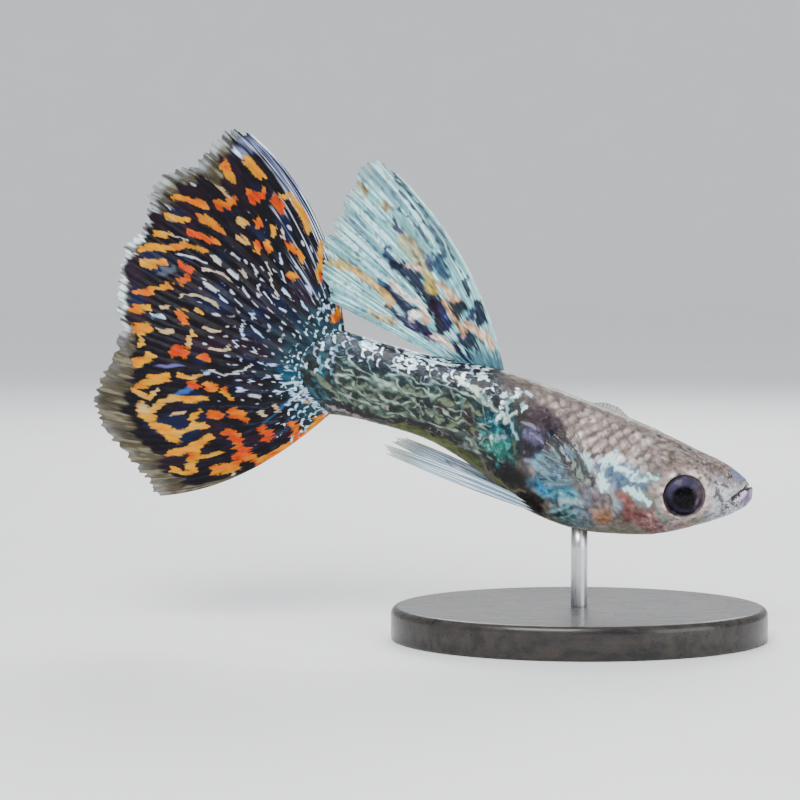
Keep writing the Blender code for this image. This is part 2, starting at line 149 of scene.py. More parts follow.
def sample(field, y, x):
    """A field read between its samples, at shares 0 to 1 of each side."""
    y = np.clip(y, 0, 1) * (field.shape[0] - 1)
    x = np.clip(x, 0, 1) * (field.shape[1] - 1)
    j = np.minimum(y.astype(int), field.shape[0] - 2)
    i = np.minimum(x.astype(int), field.shape[1] - 2)
    v, u = y - j, x - i
    top = mix(field[j, i], field[j, i + 1], u)
    return mix(top, mix(field[j + 1, i], field[j + 1, i + 1], u), v)


def linear(red, green, blue):
    """The surface colour that looks like a picture's colour under this studio's light."""
    c = np.array((red, green, blue)) / 255.0
    c = np.where(c <= 0.04045, c / 12.92, ((c + 0.055) / 1.055) ** 2.4)
    c = np.maximum(c + 0.22 * (c - c.mean()), 0.0005)
    return np.minimum(c * (1.0 + 1.1 * smooth(0.3, 0.8, c.min())) / STUDIO, 0.92)


def paint(tint, colour, amount):
    """Lays one colour over another; each is a picture's colour or a field of surface colours."""
    tint, colour = (linear(*c) if isinstance(c, tuple) else c for c in (tint, colour))
    return tint + (colour - tint) * np.clip(amount, 0, 1)[..., None]


def coats(tint, *rows):
    """Lays colours one after another. A row is a colour, its strength and, where it has a soft
    border, the two limits between which a field brings it in, and that field."""
    for colour, strength, *border in rows:
        tint = paint(tint, colour, strength * smooth(*border) if border else strength)
    return tint


def pitched(x, z):
    return COS * x + SIN * z, COS * z - SIN * x


def place(points):
    """Points of the fish's frame in millimetres, as world points in metres."""
    x, y, z = points[..., 0], points[..., 1], points[..., 2]
    behind = np.maximum(0.0, SWAY_FROM - x) / SWAY_FROM
    x, z = pitched(x, z)
    return (np.stack((x, y + SWAY * behind * behind, z), -1) + STEM_END) * MM


def picture(points):
    """Where points of the fish's frame lie in the photograph's side view, in picture units."""
    x, z = pitched(points[..., 0], points[..., 2])
    return STEM_PICTURE[0] + x / PICTURE, STEM_PICTURE[1] - z / PICTURE


def from_stem(points):
    """Level millimetres (x, z) from the tail stem's end, in the fish's frame."""
    points = np.asarray(points, float)
    x, z = points[..., 0], points[..., 1]
    return np.stack((COS * x - SIN * z, np.zeros_like(x), SIN * x + COS * z), -1)


def level_vector(degrees):
    angle = np.radians(degrees)
    return from_stem(np.stack((-np.cos(angle), np.sin(angle)), -1))


def skin_point(ring, angle):
    """The smooth body. ring counts the rows of RINGS; angle is 0 on the back, and grows to the left."""
    row = through(RINGS, ring)
    up, out = np.cos(angle), np.sin(angle)
    on_back = up >= 0
    rim_x = np.where(on_back, row[..., 0], row[..., 5])
    rim_z = np.where(on_back, row[..., 1], row[..., 6])
    power = np.where(on_back, BACK_ROUNDNESS, BELLY_ROUNDNESS)
    share = np.abs(up) ** power
    x = mix(row[..., 2], rim_x, share * share)
    z = mix(row[..., 3], rim_z, share)
    y = row[..., 4] * np.sign(out) * np.abs(out) ** power
    return np.stack((x, y, z), -1)


def skin_normal(ring, angle):
    along = skin_point(ring + 0.02, angle) - skin_point(ring - 0.02, angle)
    around = skin_point(ring, angle + 0.02) - skin_point(ring, angle - 0.02)
    return unit(np.cross(along, around))


def full_turn(count):
    return np.linspace(0, 2 * math.pi, count, endpoint=False)


def grid_faces(rows, columns, wrapped=False, first=0):
    """The quads of a grid of points, wrapped where its last column meets its first."""
    index = np.arange(rows * columns).reshape(rows, columns) + first
    if wrapped:
        index = np.concatenate((index, index[:, :1]), 1)
    corners = (index[:-1, :-1], index[:-1, 1:], index[1:, 1:], index[1:, :-1])
    return np.stack(corners, -1).reshape(-1, 4)


def add(name, data):
    obj = bpy.data.objects.new(name, data)
    bpy.context.scene.collection.objects.link(obj)
    return obj


def make_mesh(name, points, quads, fields):
    """A mesh object of world points and quads; fields are numbers or colours held by its points."""
    mesh = bpy.data.meshes.new(name)
    mesh.vertices.add(len(points))
    mesh.vertices.foreach_set("co", points.astype(np.float32).ravel())
    mesh.loops.add(quads.size)
    mesh.loops.foreach_set("vertex_index", quads.astype(np.int32).ravel())
    mesh.polygons.add(len(quads))
    mesh.polygons.foreach_set("loop_start", np.arange(0, quads.size, 4, dtype=np.int32))
    mesh.update(calc_edges=True)
    mesh.validate()
    mesh.shade_smooth()
    for title, values in fields.items():
        values = np.asarray(values, np.float32)
        if values.ndim == 1:
            mesh.attributes.new(title, "FLOAT", "POINT").data.foreach_set("value", values)
        else:
            rgba = np.ones((len(values), 4), np.float32)
            rgba[:, :3] = values
            layer = mesh.attributes.new(title, "FLOAT_COLOR", "POINT")
            layer.data.foreach_set("color", rgba.ravel())
    return add(name, mesh)


def sheet(name, centre, half, fields):
    """A closed thin sheet round a grid of points, half as thick as half on each side."""
    normal = half[..., None] * unit(np.cross(np.gradient(centre, axis=1), np.gradient(centre, axis=0)))
    rows, columns = half.shape
    count = rows * columns
    index = np.arange(count).reshape(rows, columns)
    rim = np.concatenate((index[0, :-1], index[:-1, -1], index[-1, :0:-1], index[:0:-1, 0]))
    after = np.roll(rim, -1)
    quads = (
        grid_faces(rows, columns),
        grid_faces(rows, columns, first=count)[:, ::-1],
        np.stack((rim, rim + count, after + count, after), -1),
    )
    points = np.concatenate(((centre + normal).reshape(-1, 3), (centre - normal).reshape(-1, 3)))
    both = {k: np.concatenate([v.reshape(count, *v.shape[2:])] * 2) for k, v in fields.items()}
    return make_mesh(name, place(points), np.concatenate(quads), both)


def cap(first, count):
    """The quads that close a ring of an even number of points by joining its left and right ones."""
    k = np.arange(count // 2 - 1)
    return first + np.stack((k, k + 1, count - 2 - k, count - 1 - k), -1)


def closed_rings(name, points, fields, flip=False, placed=place):
    """A closed skin through rings of points, rings by points by 3, in the fish's frame."""
    rings, count = points.shape[:2]
    quads = grid_faces(rings, count, wrapped=True)
    quads = np.concatenate((quads, cap(0, count)[:, ::-1], cap((rings - 1) * count, count)))
    if flip:
        quads = quads[:, ::-1]
    flat = {title: value.reshape(-1, *value.shape[2:]) for title, value in fields.items()}
    return make_mesh(name, placed(points.reshape(-1, 3)), quads, flat)


def dress(obj, material, slot, *nodes):
    obj.data.materials.append(material)
    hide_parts(*nodes)
    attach(obj, "root")


class Shader:
    """A Principled material built node by node."""

    def __init__(self, name, **settings):
        self.material = bpy.data.materials.new(name)
        self.material.use_nodes = True
        self.tree = self.material.node_tree
        self.surface = self.tree.nodes["Principled BSDF"]
        self.set(**settings)

    def put(self, socket, value):
        if isinstance(value, bpy.types.NodeSocket):
            self.tree.links.new(value, socket)
        else:
            socket.default_value = (*value, 1.0) if socket.type == "RGBA" else value

    def set(self, **settings):
        for socket, value in settings.items():
            self.put(self.surface.inputs[socket.replace("_", " ")], value)

    def node(self, kind, inputs=(), **properties):
        made = self.tree.nodes.new(kind)
        for key, value in properties.items():
            setattr(made, key, value)
        for key, value in dict(inputs).items():
            self.put(made.inputs[key], value)
        return made

    def field(self, name):
        return self.node("ShaderNodeAttribute", attribute_name=name).outputs["Fac"]

    def tint(self, name):
        return self.node("ShaderNodeAttribute", attribute_name=name).outputs["Color"]

    def math(self, operation, a, b):
        return self.node("ShaderNodeMath", {0: a, 1: b}, operation=operation).outputs[0]

    def step(self, low, high, value, bottom=0.0, top=1.0):
        inputs = dict(enumerate((value, low, high, bottom, top)))
        return self.node("ShaderNodeMapRange", inputs, interpolation_type="SMOOTHSTEP").outputs[0]

    def mix(self, share, a, b, blend="MIX"):
        made = self.node("ShaderNodeMix", data_type="RGBA", blend_type=blend)
        for key, item in (("Factor", share), ("A", a), ("B", b)):
            sockets = [s for s in made.inputs if s.name == key and s.enabled]
            self.put(sockets[0], item)
        return [s for s in made.outputs if s.enabled][0]

    def point(self, scale=(1.0, 1.0, 1.0)):
        place_at = self.node("ShaderNodeTexCoord").outputs["Object"]
        return self.node("ShaderNodeMapping", {"Vector": place_at, "Scale": scale}).outputs[0]

    def noise(self, scale, detail=3.0, vector=None, rough=0.55):
        inputs = {"Scale": scale, "Detail": detail, "Roughness": rough}
        inputs["Vector"] = vector or self.point()
        return self.node("ShaderNodeTexNoise", inputs).outputs[0]

    def flecks(self, scale):
        inputs = {"Scale": scale, "Vector": self.point()}
        return self.node("ShaderNodeTexVoronoi", inputs).outputs["Distance"]

    def bump(self, height, distance, strength):
        inputs = {"Height": height, "Distance": distance, "Strength": strength}
        return self.node("ShaderNodeBump", inputs).outputs[0]


# Marks, placed on the side view in picture units


def turned(u, v, degrees):
    """Places along and across a direction of the side view, which points nose end down."""
    c, s = math.cos(math.radians(degrees)), math.sin(math.radians(degrees))
    return u * c + v * s, v * c - u * s


def blob(u, v, centre, radii, turn=0.0, soft=0.35):
    """1 inside a soft ellipse of the side view, 0 outside."""
    along, across = turned(u - centre[0], v - centre[1], turn)
    return 1.0 - smooth(1.0 - soft, 1.0 + soft, np.hypot(along / radii[0], across / radii[1]))


def streaks(u, v, turn, long, short, seed):
    """Noise drawn out along a direction of the side view."""
    along, across = turned(u, v, turn)
    grid = soft_noise((512, 512), short, long, seed)
    return sample(grid, (across / 512.0) % 1.0, (along / 512.0) % 1.0)


def off_line(u, v, line):
    """How far each point lies from a line given as u, v, u, v and so on."""
    ends = list(zip(line[0::2], line[1::2]))
    best = np.full(u.shape, 1e9)
    for (u0, v0), (u1, v1) in zip(ends, ends[1:]):
        length = (u1 - u0) ** 2 + (v1 - v0) ** 2
        share = np.clip(((u - u0) * (u1 - u0) + (v - v0) * (v1 - v0)) / length, 0, 1)
        best = np.minimum(best, np.hypot(u - u0 - share * (u1 - u0), v - v0 - share * (v1 - v0)))
    return best


# The skin

STEM_SCALE = 0.84
# Each scale's spacing along and round the body, and its radius
SCALE_PITCH, SCALE_RISE, SCALE_REACH = 0.84, 0.50, 0.60
HEAD_RINGS = (7.0, 11.5)
GILL_RING = 6.8
NOSTRILS = ((27.75, 0.55), (27.15, 0.05))
LIPS = (731, 497, 737, 493, 744, 488)
MOUTH_RINGS = (13.75, 14.2)
# Blur in samples and seed of the skin's mottle, from coarse to fine
GRAINS = ((6, 11), (3.4, 17), (2.0, 12), (1.2, 13))
# Marks that begin between these two places are soft, and so are those behind them that aren't bright
SOFT_MARKS = (484, 728)
# A bright mark has this shine or more, a dim one has less than this, and a wide one's half width
# is more than this
BRIGHT, DIM, WIDE = 0.4, 0.35, 2.7
DIM_SHADE = 0.74
# Heights and depths of the relief in millimetres
SCALE_HEIGHT, GILL_HEIGHT, EYE_RIM_HEIGHT, WRINKLE_HEIGHT, JAW_HEIGHT = 0.035, 0.09, 0.10, 0.012, 0.07
SOCKET_DEPTH, NOSTRIL_DEPTH, LIP_DEPTH = 0.95, 0.13, 0.10

# Colour, strength, shine, centre, radii and turn of each soft patch on the flank
PATCHES = (
    ((44, 48, 50), 0.85, 0.1, (520, 425), (42, 24), 40),
    ((38, 104, 118), 0.95, 0.45, (499, 426), (20, 17), 30),
    ((58, 146, 130), 0.75, 0.45, (496, 446), (12, 10), 20),
    ((24, 66, 66), 0.7, 0.3, (512, 452), (11, 15), 20),
    ((76, 62, 70), 0.95, 0.1, (546, 424), (24, 13), 52),
    ((38, 34, 50), 0.95, 0.2, (563, 450), (32, 10), 58),
    ((44, 34, 46), 0.9, 0.1, (532, 446), (18, 12), 20),
    ((126, 124, 158), 0.62, 0.3, (533, 436), (11, 8), 35),
    ((14, 11, 16), 0.99, 0.05, (506, 470), (26, 12), 26),
    ((24, 17, 19), 0.95, 0.05, (528, 498), (22, 10), 38),
    ((92, 132, 162), 0.9, 0.4, (548, 466), (20, 12), 35),
    ((40, 140, 178), 0.98, 0.5, (555, 487), (26, 13), 25),
    ((140, 204, 214), 0.9, 0.5, (571, 501), (17, 10), 30),
    ((122, 158, 156), 0.85, 0.3, (572, 515), (22, 9), 25),
    ((150, 156, 168), 0.85, 0.3, (590, 500), (14, 24), 10),
    ((146, 132, 134), 0.9, 0.1, (600, 497), (9, 12), 0),
    ((98, 128, 156), 0.92, 0.4, (618, 471), (28, 12), 18),
    ((160, 166, 188), 0.9, 0.3, (613, 496), (6, 20), 0),
    ((192, 148, 126), 0.85, 0.1, (601, 515), (11, 7), 10),
    ((154, 98, 92), 0.85, 0.1, (624, 497), (6, 15), -12),
    ((152, 104, 102), 0.85, 0.1, (638, 514), (18, 10), 12),
    ((188, 146, 146), 0.85, 0.1, (651, 522), (18, 9), 8),
    ((204, 178, 178), 0.8, 0.1, (676, 523), (18, 8), 0),
    ((136, 160, 146), 0.95, 0.3, (661, 509), (8, 16), -20),
    ((176, 160, 148), 0.8, 0.2, (653, 487), (7, 9), 20),
)

# Direction, centre, radii, turn and seed of the fine strokes fanned over the blue patch
STROKES = (
    (22, (554, 487), (25, 11), 22, 41),
    (38, (548, 468), (20, 10), 38, 42),
    (-20, (562, 509), (17, 8), 10, 49),
    (56, (564, 454), (28, 9), 56, 48),
)

WHITE = (212, 238, 250)
PALE_CYAN = (150, 200, 204)

# Colour, strength, shine, half width and line of each mark on the flank
LINES = (
    ((44, 36, 42), 0.95, 0.0, 4.4, 334, 407, 364, 415, 402, 421, 428, 427, 453, 435, 474, 435),
    ((152, 140, 124), 0.9, 0.2, 1.5, 474, 431, 476, 449, 483, 464, 494, 478, 506, 487, 522, 492),
    ((198, 178, 184), 0.9, 0.3, 2.0, 330, 409, 345, 413, 364, 419),
    ((156, 150, 118), 0.8, 0.2, 1.8, 362, 419, 378, 425, 394, 429),
    ((214, 226, 212), 0.95, 0.35, 2.2, 455, 377, 470, 386, 485, 399, 499, 412, 506, 421),
    ((166, 182, 152), 0.9, 0.3, 1.9, 408, 389, 428, 393, 447, 403, 466, 406, 480, 411),
    ((160, 180, 158), 0.9, 0.3, 1.8, 374, 375, 387, 383, 400, 388, 411, 386),
    ((152, 170, 146), 0.9, 0.3, 1.7, 308, 373, 320, 382, 330, 388, 337, 396, 346, 401),
    ((156, 174, 148), 0.9, 0.3, 2.0, 345, 389, 356, 387, 368, 383),
    ((150, 160, 134), 0.85, 0.3, 1.6, 354, 404, 370, 396, 380, 394),
    ((150, 168, 146), 0.85, 0.3, 1.6, 392, 400, 401, 393, 411, 389),
    ((150, 168, 144), 0.85, 0.3, 1.5, 370, 409, 387, 416, 404, 414, 410, 404, 421, 405, 423, 420),
    ((164, 178, 152), 0.9, 0.3, 2.2, 430, 412, 442, 418),
    ((168, 184, 140), 0.9, 0.3, 2.6, 451, 425, 458, 420),
    ((176, 150, 140), 0.8, 0.2, 1.5, 434, 424, 448, 431),
    ((212, 196, 196), 0.9, 0.3, 2.4, 382, 403, 385, 404),
    ((150, 144, 150), 0.8, 0.2, 2.4, 462, 442, 465, 443),
    ((140, 166, 90), 0.7, 0.2, 1.8, 474, 428, 484, 427),
    (WHITE, 0.95, 0.4, 3.2, 364, 343, 377, 348),
    (WHITE, 0.95, 0.4, 3.2, 399, 364, 413, 361),
    (WHITE, 0.95, 0.4, 2.8, 405, 351, 420, 356, 440, 361, 452, 364),
    (WHITE, 0.9, 0.4, 3.2, 424, 358, 434, 361),
    ((214, 232, 236), 0.9, 0.4, 3.4, 476, 374, 486, 369),
    (WHITE, 0.95, 0.4, 2.4, 502, 394, 506, 391),
    (WHITE, 0.95, 0.4, 2.3, 513, 397, 517, 394),
    (WHITE, 0.95, 0.4, 2.3, 526, 392, 530, 394),
    ((190, 226, 226), 0.8, 0.4, 1.7, 506, 400, 507, 412, 512, 424, 515, 436),
    ((200, 226, 214), 0.9, 0.4, 1.6, 509, 418, 517, 411),
    ((140, 216, 200), 0.9, 0.5, 2.8, 489, 435, 492, 439),
    ((170, 184, 214), 0.9, 0.5, 2.0, 501, 436, 503, 438),
    ((116, 150, 104), 0.5, 0.3, 1.8, 512, 441, 513, 449),
    ((186, 184, 204), 0.65, 0.3, 1.1, 524, 420, 534, 427),
    ((176, 172, 200), 0.85, 0.3, 1.1, 530, 432, 541, 441),
    ((176, 190, 214), 0.6, 0.4, 1.6, 525, 457, 536, 464, 546, 468),
    ((206, 214, 230), 0.9, 0.4, 1.5, 560, 447, 567, 456),
    ((150, 170, 200), 0.8, 0.4, 1.2, 566, 446, 574, 460),
    (WHITE, 0.95, 0.4, 2.1, 573, 440, 576, 449),
    (WHITE, 0.97, 0.4, 4.0, 583, 451, 586, 460, 589, 469),
    ((186, 210, 194), 0.9, 0.3, 4.0, 573, 463, 579, 471),
    ((40, 42, 62), 0.9, 0.1, 2.3, 570, 440, 578, 455, 586, 472, 591, 482),
    (WHITE, 0.97, 0.4, 5.8, 599, 457, 607, 455, 613, 458),
    (WHITE, 0.97, 0.4, 3.8, 612, 463, 622, 467, 630, 471),
    (WHITE, 0.97, 0.4, 5.8, 598, 473, 602, 477, 605, 482),
    (PALE_CYAN, 0.95, 0.5, 5.0, 638, 476, 649, 474),
    (PALE_CYAN, 0.95, 0.5, 5.8, 629, 486, 636, 491, 643, 498),
    ((208, 196, 184), 0.75, 0.3, 3.2, 658, 479, 664, 477),
    ((150, 214, 226), 0.5, 0.5, 1.8, 546, 482, 560, 478, 574, 474),
    ((150, 214, 226), 0.5, 0.5, 1.8, 541, 494, 558, 488, 574, 486),
    ((206, 232, 234), 0.65, 0.5, 2.6, 560, 500, 570, 497, 580, 498),
    ((180, 200, 190), 0.8, 0.3, 3.2, 611, 486, 613, 506),
    ((222, 192, 164), 0.7, 0.1, 2.4, 590, 508, 600, 509),
    ((206, 140, 98), 0.4, 0.1, 3.0, 598, 518, 605, 517),
    ((98, 88, 94), 0.8, 0.0, 2.2, 712, 480, 719, 482, 725, 484),
    ((190, 168, 172), 0.9, 0.2, 1.3, 716, 478, 727, 481),
    ((72, 64, 72), 0.9, 0.0, 2.2, 727, 475, 730, 476),
    ((102, 96, 100), 0.8, 0.0, 3.2, 715, 488, 718, 496),
    ((100, 92, 96), 0.8, 0.0, 2.8, 725, 503, 721, 512),
    ((96, 86, 96), 0.8, 0.0, 2.4, 727, 500, 734, 503),
    ((206, 206, 204), 0.7, 0.2, 2.2, 709, 499, 713, 503, 713, 507),
    ((204, 206, 204), 0.85, 0.2, 2.2, 723, 489, 724, 496),
    ((196, 200, 204), 0.8, 0.2, 2.4, 716, 507, 717, 511),
    ((200, 196, 184), 0.9, 0.1, 1.3, 731, 493, 738, 489, 746, 483),
    ((46, 32, 34), 0.98, 0.0, 1.9, 731, 497, 737, 493, 743, 488, 749, 486),
    ((216, 204, 232), 0.95, 0.3, 1.7, 734, 499, 739, 497, 744, 493),
)


def skin_rows():
    """Ring numbers a fixed length apart along the body, closer round the mouth."""
    fine = np.linspace(0.0, LAST_RING, 4001)
    rows = through(RINGS, fine)
    steps = [np.hypot(*np.diff(rows[:, pair], axis=0).T) for pair in ([0, 1], [2, 3], [5, 6])]
    length = np.max(steps, axis=0) * (1.0 + 1.2 * smooth(24.0, 28.5, rows[1:, 2]))
    total = np.concatenate(([0.0], np.cumsum(length)))
    return np.interp(np.linspace(0, total[-1], SKIN_ROWS), total, fine)


def scale_size(x):
    """How large the scales are at a place along the body: 1 on the shoulder, less on the tail stem."""
    return mix(STEM_SCALE, 1.0, smooth(1.0, 15.0, x))


def scale_steps(x):
    """The length along the body, counted in full scales' millimetres."""
    places = np.linspace(-3.0, 31.0, 500)
    steps = np.cumsum((places[1] - places[0]) / scale_size(places))
    return np.interp(x, places, steps)


def scale_rows(s, t):
    """Overlapping scales on a flat sheet: height, the way in from the edge, number, and place in the
    scale."""
    row = np.round(t / SCALE_RISE).astype(int)
    best = np.full(s.shape, -9.0)
    found = [np.zeros(s.shape) for _ in range(4)]
    for dr in range(-2, 3):
        r = row + dr
        shift = 0.5 * SCALE_PITCH * (r % 2)
        column = np.floor((s - shift) / SCALE_PITCH).astype(int)
        for dc in range(-1, 3):
            k = column + dc
            draw = (k * 131 + r * 57) % 97 / 97.0
            back = s - (k * SCALE_PITCH + shift + 0.08 * np.sin(40.0 * draw))
            down = t - (r * SCALE_RISE + 0.06 * np.sin(70.0 * draw))
            away = np.hypot(back, down / 0.92)
            inside = (away < SCALE_REACH) & (-back > best)
            best = np.where(inside, -back, best)
            values = (SCALE_REACH - away, draw, back, down)
            found = [np.where(inside, value, old) for value, old in zip(values, found)]
    height = np.where(best > -9, (best + SCALE_REACH) / (2 * SCALE_REACH), 0.0)
    return height, *found


def make_skin():
    ring = skin_rows()[:, None] + np.zeros((1, SKIN_COLUMNS))
    angle = full_turn(SKIN_COLUMNS)[None, :] + 0 * ring
    base = skin_point(ring, angle)
    normal = skin_normal(np.clip(ring, 0.05, LAST_RING - 0.6), angle)
    u, v = picture(base)
    x, z = base[..., 0], base[..., 2]
    flank = np.abs(np.sin(angle))

    # lengths round the body from the back, for the scales
    around = np.linalg.norm(np.diff(base, axis=1, append=base[:, :1]), axis=-1)
    girth = np.cumsum(around, axis=1) - around
    whole = around.sum(1, keepdims=True)
    girth = np.minimum(girth, whole - girth)
    low = 2.0 * girth / whole
    wander = 0.06 * soft_noise(ring.shape, 9, 9, 3)
    scales = scale_rows(scale_steps(x) + wander, girth / scale_size(x) + wander)
    scaled = smooth(24.6, 22.6, x + 0.25 * girth) * smooth(-1.2, 0.4, x)

    # the relief: scales, gill cover, eye rims and sockets, nostrils, wrinkles, jaw and lips
    before_jaw = ring < HEAD_RINGS[1]
    near_eye = before_jaw & (ring > HEAD_RINGS[0])
    eye_away = np.hypot(x - EYE_CENTRE[0], z - EYE_CENTRE[2])
    gill = np.where(ring < GILL_RING, 0.0, 1.0 - smooth(0.0, 1.5, ring - GILL_RING))
    lift = SCALE_HEIGHT * (scales[0] - 0.5) * scaled + GILL_HEIGHT * gill * smooth(0.45, 0.9, flank)
    lift += EYE_RIM_HEIGHT * bell(eye_away - 1.52, 0.13) * before_jaw
    lift -= SOCKET_DEPTH * smooth(1.42, 1.20, eye_away) * near_eye
    for at in NOSTRILS:
        lift -= NOSTRIL_DEPTH * bell(np.hypot(x - at[0], z - at[1]), 0.14) * before_jaw
    lift += WRINKLE_HEIGHT * soft_noise(ring.shape, 5, 5, 8) * smooth(20, 24, x)
    lift += JAW_HEIGHT * bell(ring - 13.3, 0.5) * flank
    lift -= LIP_DEPTH * bell(off_line(u, v, LIPS), 1.5) * (ring > 12)

    fields = paint_skin(ring, x, u, v, low, scales[1:], scaled, eye_away, near_eye)
    obj = closed_rings("skin", base + normal * lift[..., None], fields, flip=True)
    dress(obj, skin_material(), "trunk_skin", "head", "trunk", "tail_stem")


def paint_skin(ring, x, u, v, low, scales, scaled, eye_away, near_eye):
    """The body's colours: a soft ground, and crisp marks over it where depth is above 0."""
    edge, number, back, down = scales
    face = np.sin(37.0 * number)

    def noise(rows, columns, seed):
        return soft_noise(ring.shape, rows, columns, seed)

    def speckle(base, of_fine, of_small):
        return (base + of_fine * fine + of_small * small)[..., None]

    mottle, mid, fine, small = (noise(size, size, seed) for size, seed in GRAINS)
    broken = 0.30 * fine + 0.22 * small
    steady = mix(1.0, 0.35, smooth(690, 715, u))
    u2 = u + steady * (2.0 * noise(6, 6, 14) + 1.2 * noise(2.5, 2.5, 16))
    v2 = v + steady * (2.0 * noise(6, 6, 15) + 1.2 * noise(2.5, 2.5, 18))
    u3, v3 = mix(u, u2, 0.6), mix(v, v2, 0.6)

    # the scales reflect a little differently, and the nape's hold a slanting pale patch of painted
    # highlight
    patch = np.hypot((back + 0.36 + 0.38 * down) / 0.23, down / 0.32)
    patch = smooth(1.75, 0.25, patch + 0.26 * fine + 0.20 * mid + 0.14 * small) * scaled
    nape = smooth(0.09, 0.22, low) * smooth(0.66, 0.50, low) * smooth(515, 555, u2)
    rim = smooth(0.15, 0.02, edge + 0.02 * fine) * scaled * smooth(0.05, 0.2, low)
    nape_highlight = patch * nape * (0.45 + 0.55 * np.sin(9.0 * number) ** 2) * (1.0 + 0.15 * small)
    nape_highlight = nape_highlight * mix(0.62, 1.15, smooth(0.15, 0.48, low))

    # the tail stem has a dark green ground, bluer above
    stem = smooth(536, 492, u2 + 18 * smooth(0.55, 0.1, low))
    top = stem * smooth(0.42, 0.28, low + 0.02 * mottle)
    high = smooth(0.58, 0.36, low + 0.02 * mid)
    ground = coats(
        (46, 54, 50),
        ((26, 31, 34), 1.0, 0, 1.5, mid),
        ((70, 54, 56), 0.7, 0.4, 1.5, noise(4, 4, 34)),
        ((86, 104, 98), 0.5, 0.4, 1.5, fine - 0.3 * mid),
        ((56, 84, 92), 0.55 * high, -0.6, 0.8, mid),
    )
    tint = coats(
        (136, 124, 118),
        ((96, 88, 84), 0.6, 0.2, 1.6, mottle + 0.6 * fine),
        ((170, 160, 150), 0.6, 0.2, 1.8, 0.8 * fine - mottle),
        ((108, 106, 90), 0.6, 0.10, 0.03, low),
        ((82, 72, 70), mix(0.3, 0.55, smooth(0.12, 0.35, low)) * rim),
        # painted highlights on the nape's scales, white and then pink
        ((228, 216, 212), nape_highlight),
        ((210, 172, 172), 0.6 * nape_highlight, -0.2, 1.0, mid),
        ((132, 116, 112), 0.45 * nape, 0.5, 1.5, noise(4.5, 4.5, 58)),
        # the belly and the throat
        ((176, 172, 162), smooth(0.70, 0.90, low + 0.02 * mottle), 540, 590, u2),
        ((200, 194, 168), 0.8 * smooth(0.86, 0.97, low), 560, 620, u2),
        (ground, stem),
        ((48, 60, 78), 0.85 * top, -1.6, 0.4, fine),
        ((104, 136, 150), 0.45 * top, 0.4, 1.6, small + 0.4 * mid),
        ((24, 24, 36), 0.8 * top * smooth(352, 372, u2), -0.8, 0.6, mid),
        ((44, 92, 108), 0.8 * smooth(346, 316, u2), -0.4, 1.0, fine),
        # the stem's lower edge
        ((98, 106, 56), 0.95 * stem * smooth(0.80, 0.88, low), 385, 405, u2),
        ((128, 124, 108), 0.7 * smooth(0.93, 0.99, low), 520, 400, u2),
    )
    shine = mix(0.10, 0.2, stem)

    for colour, amount, gleam, centre, radii, turn in PATCHES:
        cover = np.clip(amount * blob(u2, v2, centre, radii, turn), 0, 1)
        tint = paint(tint, linear(*colour) * speckle(1.0, 0.14, 0.08), cover)
        shine = mix(shine, gleam, cover)
    for turn, centre, radii, lean, seed in STROKES:
        drawn = streaks(u, v, turn, 6, 1.0, seed) + 0.25 * fine
        blue = blob(u, v, centre, radii, lean)
        tint = coats(
            tint,
            ((170, 230, 242), 0.75 * blue, 0.3, 1.6, drawn),
            ((18, 46, 72), 0.80 * blue, 0.2, 1.4, -drawn),
        )
    lilac = blob(u, v, (533, 436), (13, 9), 35)
    green = blob(u2, v2, (499, 438), (24, 26), 20)
    tint = coats(
        tint,
        ((46, 40, 62), 0.8 * lilac, 0.0, 0.7, streaks(u, v, 40, 7, 0.9, 42)),
        ((16, 34, 50), 0.8 * green, 0.2, 1.3, noise(3, 3, 44)),
        ((104, 190, 184), 0.6 * green, 0.7, 1.7, noise(1.8, 1.8, 45)),
        ((178, 214, 216), 0.6 * green, 1.1, 1.9, noise(1.6, 1.6, 47)),
    )
    tint = tint * (1.0 + 0.17 * face * scaled * smooth(0.70, 0.55, low))[..., None]

